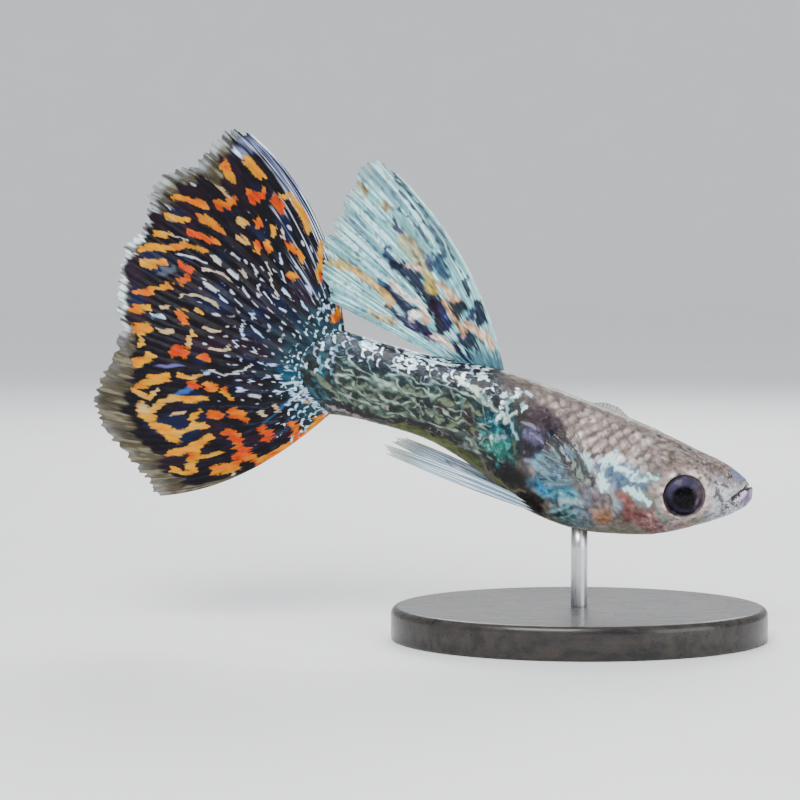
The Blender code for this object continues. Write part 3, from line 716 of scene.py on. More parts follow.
    # the head: fine grey, pink and brown mottling, a pale ring round the eye, and lilac lips
    head = smooth(636, 660, u2) * smooth(0.80, 0.64, low)
    grain = noise(2.2, 2.2, 51)
    snout = smooth(698, 716, u2) * smooth(0.22, 0.5, low)
    tint = coats(
        tint,
        ((176, 168, 164), 0.65 * head, -0.2, 1.3, grain + 0.4 * small),
        ((92, 82, 80), 0.55 * head, 0.3, 1.6, 0.3 * mottle - grain),
        ((186, 150, 152), 0.6 * head, 0.6, 1.6, noise(3.4, 3.4, 52)),
        ((122, 106, 92), 0.45 * head, 0.5, 1.7, noise(5, 5, 54)),
        ((184, 196, 188), 0.35 * head, 0.9, 1.7, noise(1.8, 1.8, 56)),
        ((196, 152, 164), 0.35 * head, 0.9, 1.7, noise(1.8, 1.8, 57)),
        ((198, 204, 212), 0.8 * snout),
        ((100, 92, 104), 0.7 * snout, 0.1, 1.4, noise(2.8, 2.2, 53)),
        ((206, 206, 206), 0.7 * snout, 0.8, 1.7, noise(2.4, 2.0, 55)),
    )
    for wide, colour, amount in ((0.36, (206, 188, 180), 0.85), (0.21, (226, 212, 208), 0.8)):
        pale = amount * bell(eye_away - 1.55, wide) * near_eye * smooth(-2.2, 0.6, grain + 0.4 * mid)
        tint = paint(tint, colour, pale)
        shine = mix(shine, 0.3, pale)
    tint = coats(
        tint,
        # painted shade in the socket round the eyeball
        ((112, 98, 100), near_eye, 1.44, 1.34, eye_away),
        ((148, 156, 186), 0.85 * blob(u2, v2, (739, 475), (10, 6), 30)),
        ((150, 138, 172), 0.7 * blob(u2, v2, (746, 496), (12, 8), -25)),
        ((158, 122, 178), 0.6 * blob(u2, v2, (745, 498), (4, 4), 0, 0.6)),
        ((206, 196, 226), 0.8 * blob(u2, v2, (742, 494), (3, 5), 20)),
        ((178, 200, 196), 0.85 * blob(u2, v2, (753, 491), (3.4, 6), 8)),
        ((170, 190, 178), 0.8 * blob(u2, v2, (747, 483), (4, 4))),
        ((58, 42, 44), smooth(*MOUTH_RINGS, ring)),
    )
    tint = tint * speckle(1.0, 0.12 + 0.06 * stem, 0.14)

    # the listed marks: soft ones go into the tint, crisp ones into layers of depth,
    # colour and shine, of which the deepest shows
    layers = []
    for colour, amount, gleam, half, *line in LINES:
        soft = line[0] < SOFT_MARKS[1] and (line[0] > SOFT_MARKS[0] or gleam < BRIGHT)
        away = off_line(u3 if soft else u2, v3 if soft else v2, line) / half
        if soft:
            cover = amount * smooth(1.45, 0.35, away + 1.3 * broken)
            shade = DIM_SHADE if line[0] < SOFT_MARKS[0] and gleam < DIM else 1.0
            tint = paint(tint, linear(*colour) * speckle(shade, 0.10, 0.10), cover)
            # a bright wide soft mark gets a painted glint: a near-white core
            if gleam >= BRIGHT and half > WIDE:
                tint = coats(tint, ((218, 250, 255), 0.85, 0.95, 0.2, away + 1.2 * broken))
            shine = mix(shine, gleam, cover)
            continue
        over = 0.7 - 0.7 * away + mix(1.5, 0.5, smooth(686, 694, u)) * broken
        colour = mix(tint, linear(*colour), amount)
        if half > WIDE and gleam > 0:
            colour = coats(colour, ((116, 158, 190), 0.5 * (u < 690), 0.5, 1.5, fine + 0.6 * mid))
        layers.append((over, colour, gleam))

    # winding lines along the stem, with a painted highlight along each one's upper edge and painted shade
    # just under it
    def ribbons(drop):
        strand = 1.0 - np.abs(streaks(u3, v3 + drop, 22, 11, 2.4, 31)) / 0.46
        knot = 0.8 - np.abs(streaks(u3, v3 + drop, 62, 7, 3.0, 32)) / 0.24
        return 0.8 * np.maximum(strand, knot)

    bounds = smooth(0.24, 0.36, low) * smooth(0.86, 0.78, low) * smooth(322, 340, u2)
    bounds = smooth(508, 478, u2) * bounds * stem
    winding = ribbons(0.0) - 0.12 - 1.5 * (1.0 - bounds) + 0.6 * broken
    lit = np.clip(ribbons(1.2) - ribbons(-1.2), -1, 1)
    ribbon = smooth(-0.7, 0.45, winding) * mix(0.90, 0.52, smooth(0.50, 0.75, low))
    green_line = coats(
        (116, 136, 120),
        ((80, 108, 106), 1.0, -0.6, 1.0, mid),
        ((136, 174, 176), 0.8 * high),
        # painted highlight on each line's upper edge
        ((196, 214, 200), 0.82, 0.0, 0.8, lit + 0.3 * fine),
    )
    tint = coats(
        tint,
        (green_line, ribbon),
        # painted shade just under each line
        ((30, 37, 36), 0.78 * smooth(0.0, 0.8, -lit), -1.0, -0.3, winding),
    )
    shine = mix(shine, 0.25, ribbon)

    # bright rims of the scales along the back and near the tail
    pearly = top * smooth(0.38, 0.24, low) * smooth(352, 372, u2) * smooth(518, 500, u2)
    thick = 0.07 + 0.08 * pearly * np.sin(51.0 * number) ** 2 + 0.05 * smooth(372, 352, u2)
    crescent = 1.0 - np.abs(edge - 0.04 - thick) / thick + 0.8 * broken
    crescent = crescent - 2.0 * smooth(0.28, 0.44, np.abs(down)) - 2.0 * (number < 0.32)
    near_tail = smooth(352, 330, u2) * smooth(0.62, 0.50, low) * smooth(-1.7, -1.3, x)
    rimmed = np.maximum(scaled * top * smooth(512, 490, u2), near_tail)
    rims = coats(
        (120, 172, 190),
        ((222, 234, 244), 1.0, -0.6, 1.0, face + 0.4 * mid + 0.8 * pearly),
        ((186, 188, 224), 0.7, 0.3, 0.9, np.sin(83.0 * number)),
    )
    layers.append((crescent - 3.0 * (1.0 - rimmed), rims, 0.4))

    # white marks along the back, and spangles before the stem
    whitened = top * smooth(0.36, 0.24, low) * smooth(360, 385, u2) * smooth(515, 500, u2)
    white = 2.0 * cells(ring.shape, 13, 12, 33, 0.0) - 1.44 + broken + 0.35 * mid
    pearl = paint((216, 238, 246), (160, 192, 214), smooth(-0.6, 1.0, mid))
    layers.append((white - 3.0 * (1.0 - whitened), pearl, 0.4))
    starred = blob(u2, v2, (510, 406), (32, 26), 30) * smooth(0.0, 0.5, np.sin(23.0 * number) - 0.1)
    spangle = 0.7 - 0.7 * np.hypot((back + 0.42) / 0.16, down / 0.22) + broken
    spangles = paint((150, 206, 212), (224, 236, 238), smooth(-0.5, 1, face))
    layers.append((spangle - 2.5 * (1.0 - starred * scaled), spangles, 0.5))

    depth = np.full(ring.shape, -9.0)
    mark = tint
    for over, colour, gleam in layers:
        here = over > depth
        mark = np.where(here[..., None], colour, mark)
        shine = np.where(here & (over > 0), gleam, shine)
        depth = np.maximum(depth, over)
    mark = mark * speckle(1.0, 0.14, 0.14)
    wet = 0.32 + 0.05 * mottle
    fields = {"tint": tint, "mark": mark, "depth": depth, "shine": shine, "wet": wet}
    return {title: np.clip(value, -1, 1) for title, value in fields.items()}


def skin_material():
    s = Shader("skin", Coat_Weight=0.08, Coat_Roughness=0.10, Specular_IOR_Level=0.20)
    grain = s.noise(9000.0)
    edge = s.math("ADD", s.field("depth"), s.step(0.3, 0.7, grain, -0.20, 0.20))
    tint = s.mix(s.step(-0.36, 0.40, edge), s.tint("tint"), s.tint("mark"))
    darker = s.mix(1.0, tint, (0.42, 0.40, 0.40), "MULTIPLY")
    tint = s.mix(s.step(0.30, 0.12, s.flecks(11000.0), 0.0, 0.36), tint, darker)
    tint = s.mix(s.step(0.45, 0.75, s.noise(22000.0, 2.0), 0.0, 0.42), tint, darker)
    lighter = s.mix(1.0, tint, (0.20, 0.20, 0.22), "ADD")
    glint = s.math("MULTIPLY", s.step(0.56, 0.72, grain), s.field("shine"))
    s.set(
        Base_Color=s.mix(glint, tint, lighter),
        Metallic=s.math("MULTIPLY", s.field("shine"), 0.7),
        Roughness=s.math("ADD", s.field("wet"), s.math("MULTIPLY", grain, 0.12)),
        Normal=s.bump(grain, 0.00002, 0.4),
    )
    return s.material


# The eyes

EYE_RINGS, EYE_SIDES = 72, 96
EYE_FULLNESS = 0.55
PUPIL = (0.02, -0.10)


def make_eye(word, side):
    """An eyeball with a bulging clear front: its poles lie to the side."""
    theta = np.linspace(0.0, math.pi, EYE_RINGS)[:, None] + np.zeros((1, EYE_SIDES))
    turn = full_turn(EYE_SIDES)[None, :] + 0 * theta
    theta = np.clip(theta, 0.004, math.pi - 0.004)
    away = EYE_RADIUS * np.sin(theta) * 0.985
    bulge = 0.05 * np.exp(-((away / 0.75) ** 4)) * (theta < math.pi / 2)
    deep = EYE_DEPTH * np.sign(np.cos(theta)) * np.abs(np.cos(theta)) ** EYE_FULLNESS + bulge
    x, z = away * np.cos(turn), away * np.sin(turn)
    points = np.stack((x, side * deep, z), -1) + EYE_CENTRE * (1, side, 1)
    from_pupil = np.hypot(x - PUPIL[0], z - PUPIL[1])
    rays = soft_noise(theta.shape, 9, 0.8, 61)
    cloud = soft_noise(theta.shape, 4, 4, 62)
    tint = coats(
        (46, 42, 52),
        ((86, 82, 106), 0.8, -0.3, 0.9, z - 0.55 * x + 0.12 * cloud),
        ((32, 28, 38), 1.0, 0.2, 1.0, -z - 0.2 * x),
        ((96, 78, 74), 0.7 * blob(x, z, (0.85, 0.35), (0.30, 0.55), -30, 0.6)),
        # a painted pink glint at the right of the iris
        ((150, 118, 140), 0.7 * blob(x, z, (0.86, -0.12), (0.10, 0.22), 0, 0.6)),
        # a painted reflection at the lower middle of the iris
        ((74, 68, 92), 0.7 * blob(x, z, (0.1, -0.85), (0.42, 0.16), 0, 0.6)),
        ((104, 98, 118), 0.22, 0.6, 1.8, rays),
        ((26, 22, 32), 0.25, 0.6, 1.8, -rays),
        ((14, 11, 18), 1.0, 0.94, 0.66, from_pupil + 0.015 * cloud),
        ((4, 4, 6), 1.0, 0.76, 0.58, from_pupil + 0.010 * cloud),
        ((150, 138, 142), 0.8, 1.22, 1.32, away + 0.012 * rays),
    )
    fields = {"tint": tint, "rim": smooth(1.22, 1.32, away)}
    s = Shader(f"eye_{word}", Coat_Weight=0.10, Coat_Roughness=0.10, Specular_IOR_Level=0.05)
    lighter = s.mix(1.0, s.tint("tint"), (0.03, 0.025, 0.05), "ADD")
    cloudy = s.step(0.45, 0.7, s.noise(5200.0, 4.0), 0.0, 0.16)
    s.set(
        Base_Color=s.mix(cloudy, s.tint("tint"), lighter),
        Metallic=s.math("MULTIPLY", s.field("rim"), 0.5),
        Roughness=s.step(0.3, 0.8, s.noise(3000.0), 0.16, 0.30),
    )
    obj = closed_rings(f"eyeball_{word}", points, fields, flip=side < 0)
    dress(obj, s.material, "eye", f"eye_{word}")


# Fins


def fan(rows, columns):
    """The places across and along a fin's grid."""
    r = np.linspace(0, 1, rows)[:, None] + np.zeros((1, columns))
    return np.linspace(0, 1, columns)[None, :] + 0 * r, r


def ray_lines(a, r, rays, forks):
    """1 on a ray and 0 between; each ray forks in two at each of the given places."""
    share = (a * rays) % 1.0
    offset = 0.25
    centres = [0.5 + 0 * r]
    for fork in forks:
        open_by = offset * smooth(fork, fork + 0.22, r)
        centres = [c + way * open_by for c in centres for way in (1, -1)]
        offset /= 2
    away = np.min([np.abs(share - c) for c in centres], axis=0)
    width = mix(0.30, 0.5 / len(centres), smooth(forks[0], 1.0, r))
    return np.clip(1.0 - away / width, 0, 1)


def bezier(start, handle, end, r):
    r = r[..., None]
    return start * (1.0 - r) ** 2 + handle * 2 * (1.0 - r) * r + end * r**2


def edge_noise(count, knots, seed):
    """An uneven margin through a number of random knots, between -1 and 1."""
    draw = np.random.default_rng(seed).uniform(-1, 1, knots)
    return through(draw, np.linspace(0, knots - 1, count))


def lengthened(root, tip, by):
    """The ends of a fin's rays, drawn out by a length for each place across it."""
    way = tip - root
    length = np.linalg.norm(way, axis=-1, keepdims=True)
    return tip + way / length * by[None, :, None], length


def fin_material(name, roughness):
    """Marks on a ground, both held by the mesh, with sharp edges drawn by finer noise."""
    s = Shader(name, Specular_IOR_Level=0.12)
    grain = s.noise(6500.0)
    edge = s.math("ADD", s.field("depth"), s.step(0.3, 0.7, grain, -0.16, 0.16))
    tint = s.mix(s.step(-0.20, 0.26, edge), s.tint("ground"), s.tint("mark"))
    darker = s.mix(1.0, tint, (0.7, 0.7, 0.7), "MULTIPLY")
    s.set(
        Base_Color=s.mix(s.step(0.45, 0.7, s.noise(14000.0, 2.0), 0.0, 0.35), tint, darker),
        Alpha=s.field("solid"),
        Roughness=s.step(0.25, 0.75, grain, roughness - 0.06, roughness + 0.14),
        Normal=s.bump(s.math("ADD", s.field("ray"), s.math("MULTIPLY", grain, 0.4)), 0.00002, 0.5),
    )
    return s.material


def unmarked(tint, solid, ray):
    """The fields of a fin whose marks are all soft ones, painted into its ground."""
    tint, solid = np.clip(tint, 0, 1), np.clip(solid, 0, 1)
    return {"ground": tint, "mark": tint, "depth": 0 * ray - 1, "solid": solid, "ray": ray}


# The tail fin's ray tips in level millimetres, from its lower to its upper edge
TAIL_TIPS = (
    (-10.6, -8.7), (-12.5, -6.6), (-14.6, -3.8), (-14.6, -1.1), (-13.3, 1.5), (-13.3, 4.6),
    (-13.2, 7.6), (-11.6, 9.6), (-11.0, 12.0), (-8.1, 13.7), (-5.9, 15.4), (-4.3, 15.2),
)
TAIL_LEAVES = (-43.0, 86.0)
TAIL_BOW = 0.60
TAIL_GRID = (260, 560)
TAIL_NOISE_GRID = (270, 540)
TAIL_WAVE = 0.7

# Each mark's warmth, from 0 for blue-white over cream and gold to 1 for red-orange, its half width
# and its line
TAIL_MARKS = (
    (0.70, 5, 247, 161, 260, 175), (0.75, 5.5, 222, 164, 226, 172, 231, 179),
    (0.62, 3.5, 221, 163, 214, 171), (0.40, 2.2, 193, 171, 210, 180, 227, 196),
    (1.0, 5.5, 217, 205, 224, 205, 229, 201), (1.0, 4, 249, 192, 252, 200),
    (1.0, 4.5, 257, 197, 262, 192), (1.0, 6.5, 276, 201, 280, 208),
    (0.55, 3, 281, 197, 290, 196, 296, 203), (0.62, 4.2, 296, 204, 303, 216, 308, 231),
    (0.65, 3.2, 322, 243, 320, 262, 318, 280), (0.95, 3, 319, 272, 321, 281),
    (0.78, 4.2, 171, 197, 186, 200, 202, 205), (0.66, 3, 161, 215, 172, 219, 185, 220),
    (0.88, 3.8, 197, 217, 209, 223, 219, 230), (0.85, 3.3, 186, 232, 199, 237, 212, 242),
    (0.62, 3, 149, 233, 158, 235, 166, 235), (0.2, 1.8, 168, 236, 184, 240),
    (0.72, 4.2, 131, 250, 146, 247, 161, 249, 181, 245), (0.88, 3.4, 181, 245, 193, 248, 202, 252),
    (0.15, 2, 116, 251, 127, 253), (0.72, 4.4, 136, 262, 146, 265, 157, 264),
    (0.92, 3.4, 175, 265, 182, 269, 188, 271), (0.92, 4, 177, 282, 184, 280),
    (0.82, 3.4, 129, 293, 146, 293, 156, 289, 165, 286), (0.75, 4.4, 128, 311, 142, 311),
    (0.90, 5, 178, 313, 180, 322), (0.5, 3.6, 236, 220, 243, 223), (0.95, 3.4, 256, 218, 257, 227),
    (0.7, 3, 271, 226, 272, 236), (0.25, 2, 281, 229, 282, 240), (0.55, 3.6, 237, 238, 245, 242),
    (0.85, 3.4, 256, 245, 257, 250), (0.8, 3.2, 266, 242, 268, 251), (0.85, 3.8, 289, 245, 292, 249),
    (0.75, 3.2, 297, 252, 302, 259), (0.85, 3.8, 290, 276, 294, 278), (0.2, 3, 212, 258, 218, 263),
    (0.25, 2.4, 241, 273, 245, 279), (0.85, 5, 334, 319, 340, 311),
    (0.1, 1.8, 173, 256, 188, 259, 202, 263), (0.25, 2.2, 200, 271, 213, 272, 226, 278),
    (0.1, 2.2, 203, 286, 216, 293), (0.1, 2.5, 228, 254, 237, 259), (0.1, 2.3, 227, 270, 235, 277),
    (0.1, 2.2, 252, 267, 255, 275), (0.1, 2.2, 256, 294, 258, 286), (0.1, 1.9, 241, 287, 247, 296),
    (0, 2.6, 229, 292, 230, 293), (0, 2, 219, 298, 224, 303), (0, 2, 233, 301, 239, 307),
    (0, 2.4, 250, 312, 252, 318), (0, 1.9, 264, 292, 267, 301), (0.2, 1.4, 266, 263, 271, 281, 277, 299),
    (0, 2.3, 278, 254, 280, 262), (0, 2.3, 281, 273, 282, 282), (0, 2.6, 284, 292, 285, 294),
    (0, 3.2, 307, 287, 309, 290), (0, 3, 301, 303, 304, 308), (0, 2.5, 318, 311, 326, 305),
    (0, 2.3, 281, 311, 286, 312), (0.3, 2.3, 176, 297, 190, 296, 200, 298, 209, 303, 217, 309),
    (0.4, 2.2, 156, 309, 167, 308), (0.5, 2.6, 193, 312, 199, 315), (0, 2.8, 149, 318, 158, 319),
    (0.1, 2.4, 186, 180, 194, 184), (0.1, 2, 160, 201, 163, 207),
    (0.72, 6, 128, 332, 142, 330), (0.6, 3.5, 138, 336, 137, 346), (0.35, 2.6, 155, 332, 169, 333),
    (0.5, 3.2, 189, 334, 186, 345), (0.3, 2.4, 201, 328, 218, 333),
    (1.0, 5.5, 171, 355, 177, 351, 182, 355), (0.85, 4.2, 199, 359, 205, 359),
    (0.3, 2.6, 209, 350, 218, 351, 228, 349), (0.66, 5, 147, 359, 134, 364, 120, 372),
    (0.72, 4.4, 162, 377, 146, 383, 131, 389), (0.55, 3, 131, 392, 145, 400, 154, 391),
    (0.68, 3.4, 203, 400, 188, 402, 170, 401, 155, 406, 146, 413), (0.62, 7, 136, 410, 146, 420),
    (0.66, 6, 148, 428, 161, 434, 171, 439), (0.62, 2.8, 173, 438, 189, 431, 204, 428),
    (0.4, 3, 169, 416, 180, 415), (0.68, 3.6, 197, 415, 189, 421, 188, 430, 197, 429),
    (0.92, 4.6, 209, 416, 216, 417), (0.55, 2.6, 175, 377, 187, 379, 200, 377),
    (0, 3, 203, 376, 209, 375), (0.15, 2, 212, 372, 221, 377, 231, 374, 241, 373, 249, 367),
    (0.95, 4.4, 188, 386, 193, 386), (0.85, 4.4, 206, 389, 211, 390), (0.8, 4, 222, 392, 229, 400),
    (0, 3.4, 237, 392, 241, 392), (0.9, 4.6, 229, 414, 236, 416, 242, 421),
    (0.15, 3, 250, 397, 258, 399), (0.3, 3.4, 257, 415, 262, 417), (1.0, 5.5, 262, 430, 266, 439),
    (0.88, 5.2, 223, 434, 231, 438, 237, 448, 243, 457), (0.95, 5.2, 236, 461, 249, 460, 256, 463),
    (0.85, 3.6, 256, 464, 277, 454, 290, 446, 297, 440), (0.80, 3.0, 303, 436, 309, 431, 320, 422),
    (0.90, 4.6, 291, 424, 296, 433, 300, 438), (0.9, 5, 318, 421, 327, 417),
    (0.66, 4.4, 164, 457, 182, 453, 196, 446, 206, 440), (0.7, 6, 194, 452, 192, 462, 186, 468),
    (0.66, 3.2, 219, 454, 207, 459, 197, 461), (0.66, 3, 166, 474, 178, 478, 190, 474),
    (0.8, 5.5, 211, 475, 222, 473, 233, 469), (0.2, 2.4, 231, 479, 235, 479),
    (0, 2.4, 234, 343, 235, 349), (0, 2.6, 252, 350, 253, 352), (0, 2.8, 239, 359, 240, 360),
    (0, 2.2, 239, 335, 241, 322), (0, 2, 251, 328, 262, 338), (0, 2, 257, 364, 264, 365),
    (0, 2.2, 270, 366, 276, 366), (0.05, 2.8, 285, 369, 287, 371), (0, 2.2, 261, 379, 267, 378),
    (0, 2.6, 276, 378, 279, 378), (0, 2.4, 247, 384, 252, 382), (0, 2.4, 281, 387, 291, 382),
    (0, 2.2, 295, 383, 299, 387), (0, 2.2, 275, 392, 280, 394), (0, 2.6, 289, 392, 299, 400),
    (0, 2.6, 301, 391, 313, 402), (0, 2.4, 285, 405, 292, 400), (0.3, 3, 303, 401, 309, 405),
    (0, 2.6, 312, 402, 319, 408), (0.35, 3, 271, 406, 277, 413), (0.1, 3.4, 319, 409, 328, 411),
)

WARMTH = (0.0, 0.3, 0.62, 0.85, 1.0)
# A mark's rim and core at each warmth
MARK_RIMS = ((130, 152, 196), (190, 168, 150), (226, 180, 90), (222, 150, 60), (206, 110, 54))
MARK_CORES = ((196, 210, 230), (220, 202, 170), (250, 184, 28), (242, 142, 18), (222, 84, 18))


def by_warmth(warm, colours):
    columns = zip(*(linear(*colour) for colour in colours))
    return np.stack([np.interp(warm, WARMTH, column) for column in columns], -1)


def deepest_mark(u, v):
    """How deep each point lies in a mark, 1 on its middle line and 0 at its edge, and its warmth."""
    deepest = np.full(u.shape, -9.0)
    warm = np.zeros(u.shape)
    for warmth, half, *line in TAIL_MARKS:
        depth = 1.0 - off_line(u, v, line) / half
        warm = np.where(depth > deepest, warmth, warm)
        deepest = np.maximum(depth, deepest)
    return deepest, warm


def tail_centre(a, r):
    edge = skin_point(0 * a, math.pi * (1.0 - a))
    leave = level_vector(mix(*TAIL_LEAVES, a))
    root = np.stack((edge[..., 0], 0 * a, edge[..., 2]), -1) - leave * 0.9
    tip = from_stem(through(TAIL_TIPS, a * (len(TAIL_TIPS) - 1)))
    count = a.shape[1]
    ragged = 0.16 * edge_noise(count, 60, 5) + 0.20 * edge_noise(count, 190, 6)
    ragged += 0.35 * np.minimum(0.0, edge_noise(count, 40, 7) + 0.35)
    tip, length = lengthened(root, tip, ragged + 0.15)
    centre = bezier(root, root + leave * (length * TAIL_BOW + 0.4), tip, r)
    centre[..., 1] = TAIL_WAVE * smooth(0.05, 1.0, r) * np.sin(2 * math.pi * (1.6 * a + 0.25 * r))
    return centre


def make_tail():
    a, r = fan(*TAIL_GRID)
    centre = tail_centre(a, r)
    ray = ray_lines(a, r, 15, (0.18, 0.5))
    half = mix(0.06 + 0.06 * ray, 0.022 + 0.02 * ray, smooth(0.7, 1.0, r))
    half = half + 0.01 * soft_noise(r.shape, 6, 4, 71) * smooth(0.1, 0.2, r)
    fields = paint_tail(a, r, ray, centre[..., 0], centre[..., 2], *picture(centre))
    obj = sheet("tail", centre, np.maximum(half, 0.015), fields)
    dress(obj, fin_material("tail_fin", 0.42), "tail_fin", "caudal_fin")


def paint_tail(a, r, ray, x, z, u, v):
    """The tail fin's colours: a dark ground, light marks over it, and a clear fringe."""
    warp = np.log(1 + 2.5 * r) / math.log(3.5)

    def noise(down, along, seed):
        return sample(soft_noise(TAIL_NOISE_GRID, down, along, seed), warp, a)

    outward = unit(np.stack((np.gradient(u, axis=0), np.gradient(v, axis=0)), -1))
    fray = 1.7 * noise(7, 1.2, 23) + 0.8 * noise(3, 0.9, 24)
    sway = 0.7 * noise(8, 4, 25) + 0.3 * noise(3, 1.6, 26)
    u2 = u + outward[..., 0] * fray - outward[..., 1] * sway
    v2 = v + outward[..., 1] * fray + outward[..., 0] * sway
    grain, hair, fine, web = noise(2.0, 1.6, 34), noise(8, 1.0, 46), noise(16, 1.1, 44), noise(10, 0.9, 38)
    depth, warm = deepest_mark(u2, v2)
    depth = depth - 0.08 - 0.18 * (warm < 0.5) + 0.06 * grain + 0.10 * hair

    # small dots and dashes fill the ground where the larger marks leave room
    dots = sample(cells(TAIL_NOISE_GRID, 22, 13, 21, -0.55), warp, a) * 2.2 - 1.05 + 0.10 * grain
    room = smooth(-0.9, -2.2, depth) * smooth(0.72, 0.5, r) * smooth(0.05, 0.12, r)
    dots = np.where(room > 0.02, dots - 1.2 * (1 - room), -9.0)
    warm = np.where(dots > depth, 0.12, warm)
    depth = np.maximum(depth, dots)
    warm = np.clip(warm + (0.08 * noise(5, 5, 27) + 0.05 * hair) * (warm > 0.4), 0, 1)
    light = paint(by_warmth(warm, MARK_RIMS), by_warmth(warm, MARK_CORES), smooth(0.02, 0.40, depth))
    light = light * (1.0 + 0.07 * grain + 0.12 * hair)[..., None]

    # the upper tip and the upper front edge are pale with dark streaks between their rays
    tip = blob(u2, v2, (238, 146), (20, 10), 12)
    front = smooth(15, 6, off_line(u2, v2, (244, 134, 270, 148, 286, 166, 302, 192)))
    behind = 0.8 * smooth(12, 5, off_line(u2, v2, (300, 188, 313, 222, 321, 258)))
    inside = 0.6 * smooth(17, 8, off_line(u2, v2, (284, 206, 300, 244, 312, 290)))
    pale = np.clip(np.maximum(tip, front) * smooth(-0.5, 0.5, fine + 0.7 * tip), 0, 1)
    pale = np.maximum(pale, np.maximum(behind, inside) * smooth(0.1, 1.0, fine))

    # painted sheen along the rays, broken up by grain
    ray_sheen = smooth(0.6, 0.98, ray) * smooth(-1, 1, grain)
    blue = blob(u2, v2, (290, 411), (30, 13), -32) * smooth(0.0, 0.8, streaks(u, v, -34, 8, 1.0, 43))
    dark = coats(
        (20, 16, 24),
        ((44, 26, 40), 0.8, 0.2, 1.4, noise(14, 10, 28)),
        ((26, 38, 74), 0.75, 0.5, 1.8, noise(10, 9, 29)),
        # painted sheen on the rays, bluer further out
        ((72, 90, 124), 0.5 * ray_sheen, 0.50, 0.15, r),
        ((58, 60, 84), 0.25 * ray_sheen),
        ((52, 80, 92), 0.85, 0.22, 0.05, r + 0.03 * noise(6, 6, 30)),
        ((24, 40, 52), 0.7 * smooth(0.25, 0.1, r), 0.0, 1.0, noise(3, 3, 35)),
        ((48, 104, 128), 0.5 * blob(u2, v2, (288, 375), (12, 9), 20)),
        ((70, 112, 160), 0.9 * blue),
        ((84, 116, 190), 0.9 * blob(u2, v2, (180, 393), (11, 3.4), -30)),
        ((130, 130, 190), 0.9 * blob(u2, v2, (168, 368), (13, 2.4), -3)),
        ((96, 104, 122), 0.9 * blob(u2, v2, (163, 272), (9, 4), -10)),
        ((150, 160, 200), pale),
        ((222, 234, 244), pale, 0.5, 1.4, fine + 0.5 * tip),
    )

    # scale rims run out from the stem onto the fin's root
    _, edge, number, _, down = scale_rows(x / STEM_SCALE, z / STEM_SCALE)
    arcs = 1.0 - np.abs(edge - 0.11) / 0.09 - 2.0 * smooth(0.26, 0.42, np.abs(down))
    arcs = arcs + 0.3 * grain - 2.5 * (number < 0.2) - 2.2 * smooth(-1.4, -3.6, x - 0.25 * np.abs(z))
    cyan = paint((120, 190, 204), (206, 226, 236), smooth(-0.4, 1.0, grain))
    light = np.where((arcs > depth)[..., None], cyan, light)
    depth = np.maximum(depth, arcs)

    # the ragged clear fringe, widest at the lower rear
    wide = 0.05 + 0.12 * smooth(0.52, 0.26, a) + 0.07 * smooth(0.64, 0.74, a) * smooth(0.92, 0.84, a)
    wide = wide + 0.016 * noise(9, 6, 31) + 0.016 * noise(6, 1.4, 36)
    low_side = 0.030 * smooth(0.45, 0.80, r) + 0.006 * noise(6, 4, 37)
    clear = np.maximum(
        smooth(0.0, 0.035, r - (1.0 - wide)) * (a < 0.93),
        smooth(0.004, -0.006, a - low_side) * smooth(0.45, 0.60, r),
    )
    rim = smooth(0.93, 0.97, r) * smooth(0.34, 0.44, a) * mix(0.95, 0.35, smooth(0.60, 0.70, a))
    fringe = coats(
        (98, 90, 72),
        ((172, 168, 148), 0.6, 0.3, 1.6, web + 0.4 * grain),
        ((58, 54, 44), 0.8, 0.1, 1.3, 0.4 * noise(5, 3, 33) - web),
        ((220, 236, 244), rim, -1.2, 0.5, web),
    )
    dark = paint(dark, fringe, clear)
    light = paint(light, fringe, 0.7 * clear)
    depth = np.clip(mix(depth, -0.6, 0.85 * clear), -1, 1)
    out = smooth(0.88, 1.0, r + 0.02 * noise(4, 5, 39))
    solid = 1.0 - clear * mix(0.12, 0.45, out) * smooth(1.6, -0.8, web)
    return {"ground": dark, "mark": light, "depth": depth, "solid": solid, "ray": ray}


# The dorsal fin's ray tips in level millimetres, from its front to its rear edge
DORSAL_TIPS = (
    (5.3, 12.6), (4.1, 13.4), (3.0, 13.0), (2.3, 11.7), (1.7, 10.5),
    (1.2, 9.4), (0.7, 8.4), (0.5, 7.2), (0.7, 5.6), (1.0, 4.3),
)
DORSAL_RINGS = (4.06, 3.12)
DORSAL_SUNK = (0.0, 0.0, 0.35)
DORSAL_LEAVES = (79.0, 28.0)
DORSAL_BOW = 0.54
DORSAL_GRID = (220, 260)
DORSAL_LEAN = -1.5

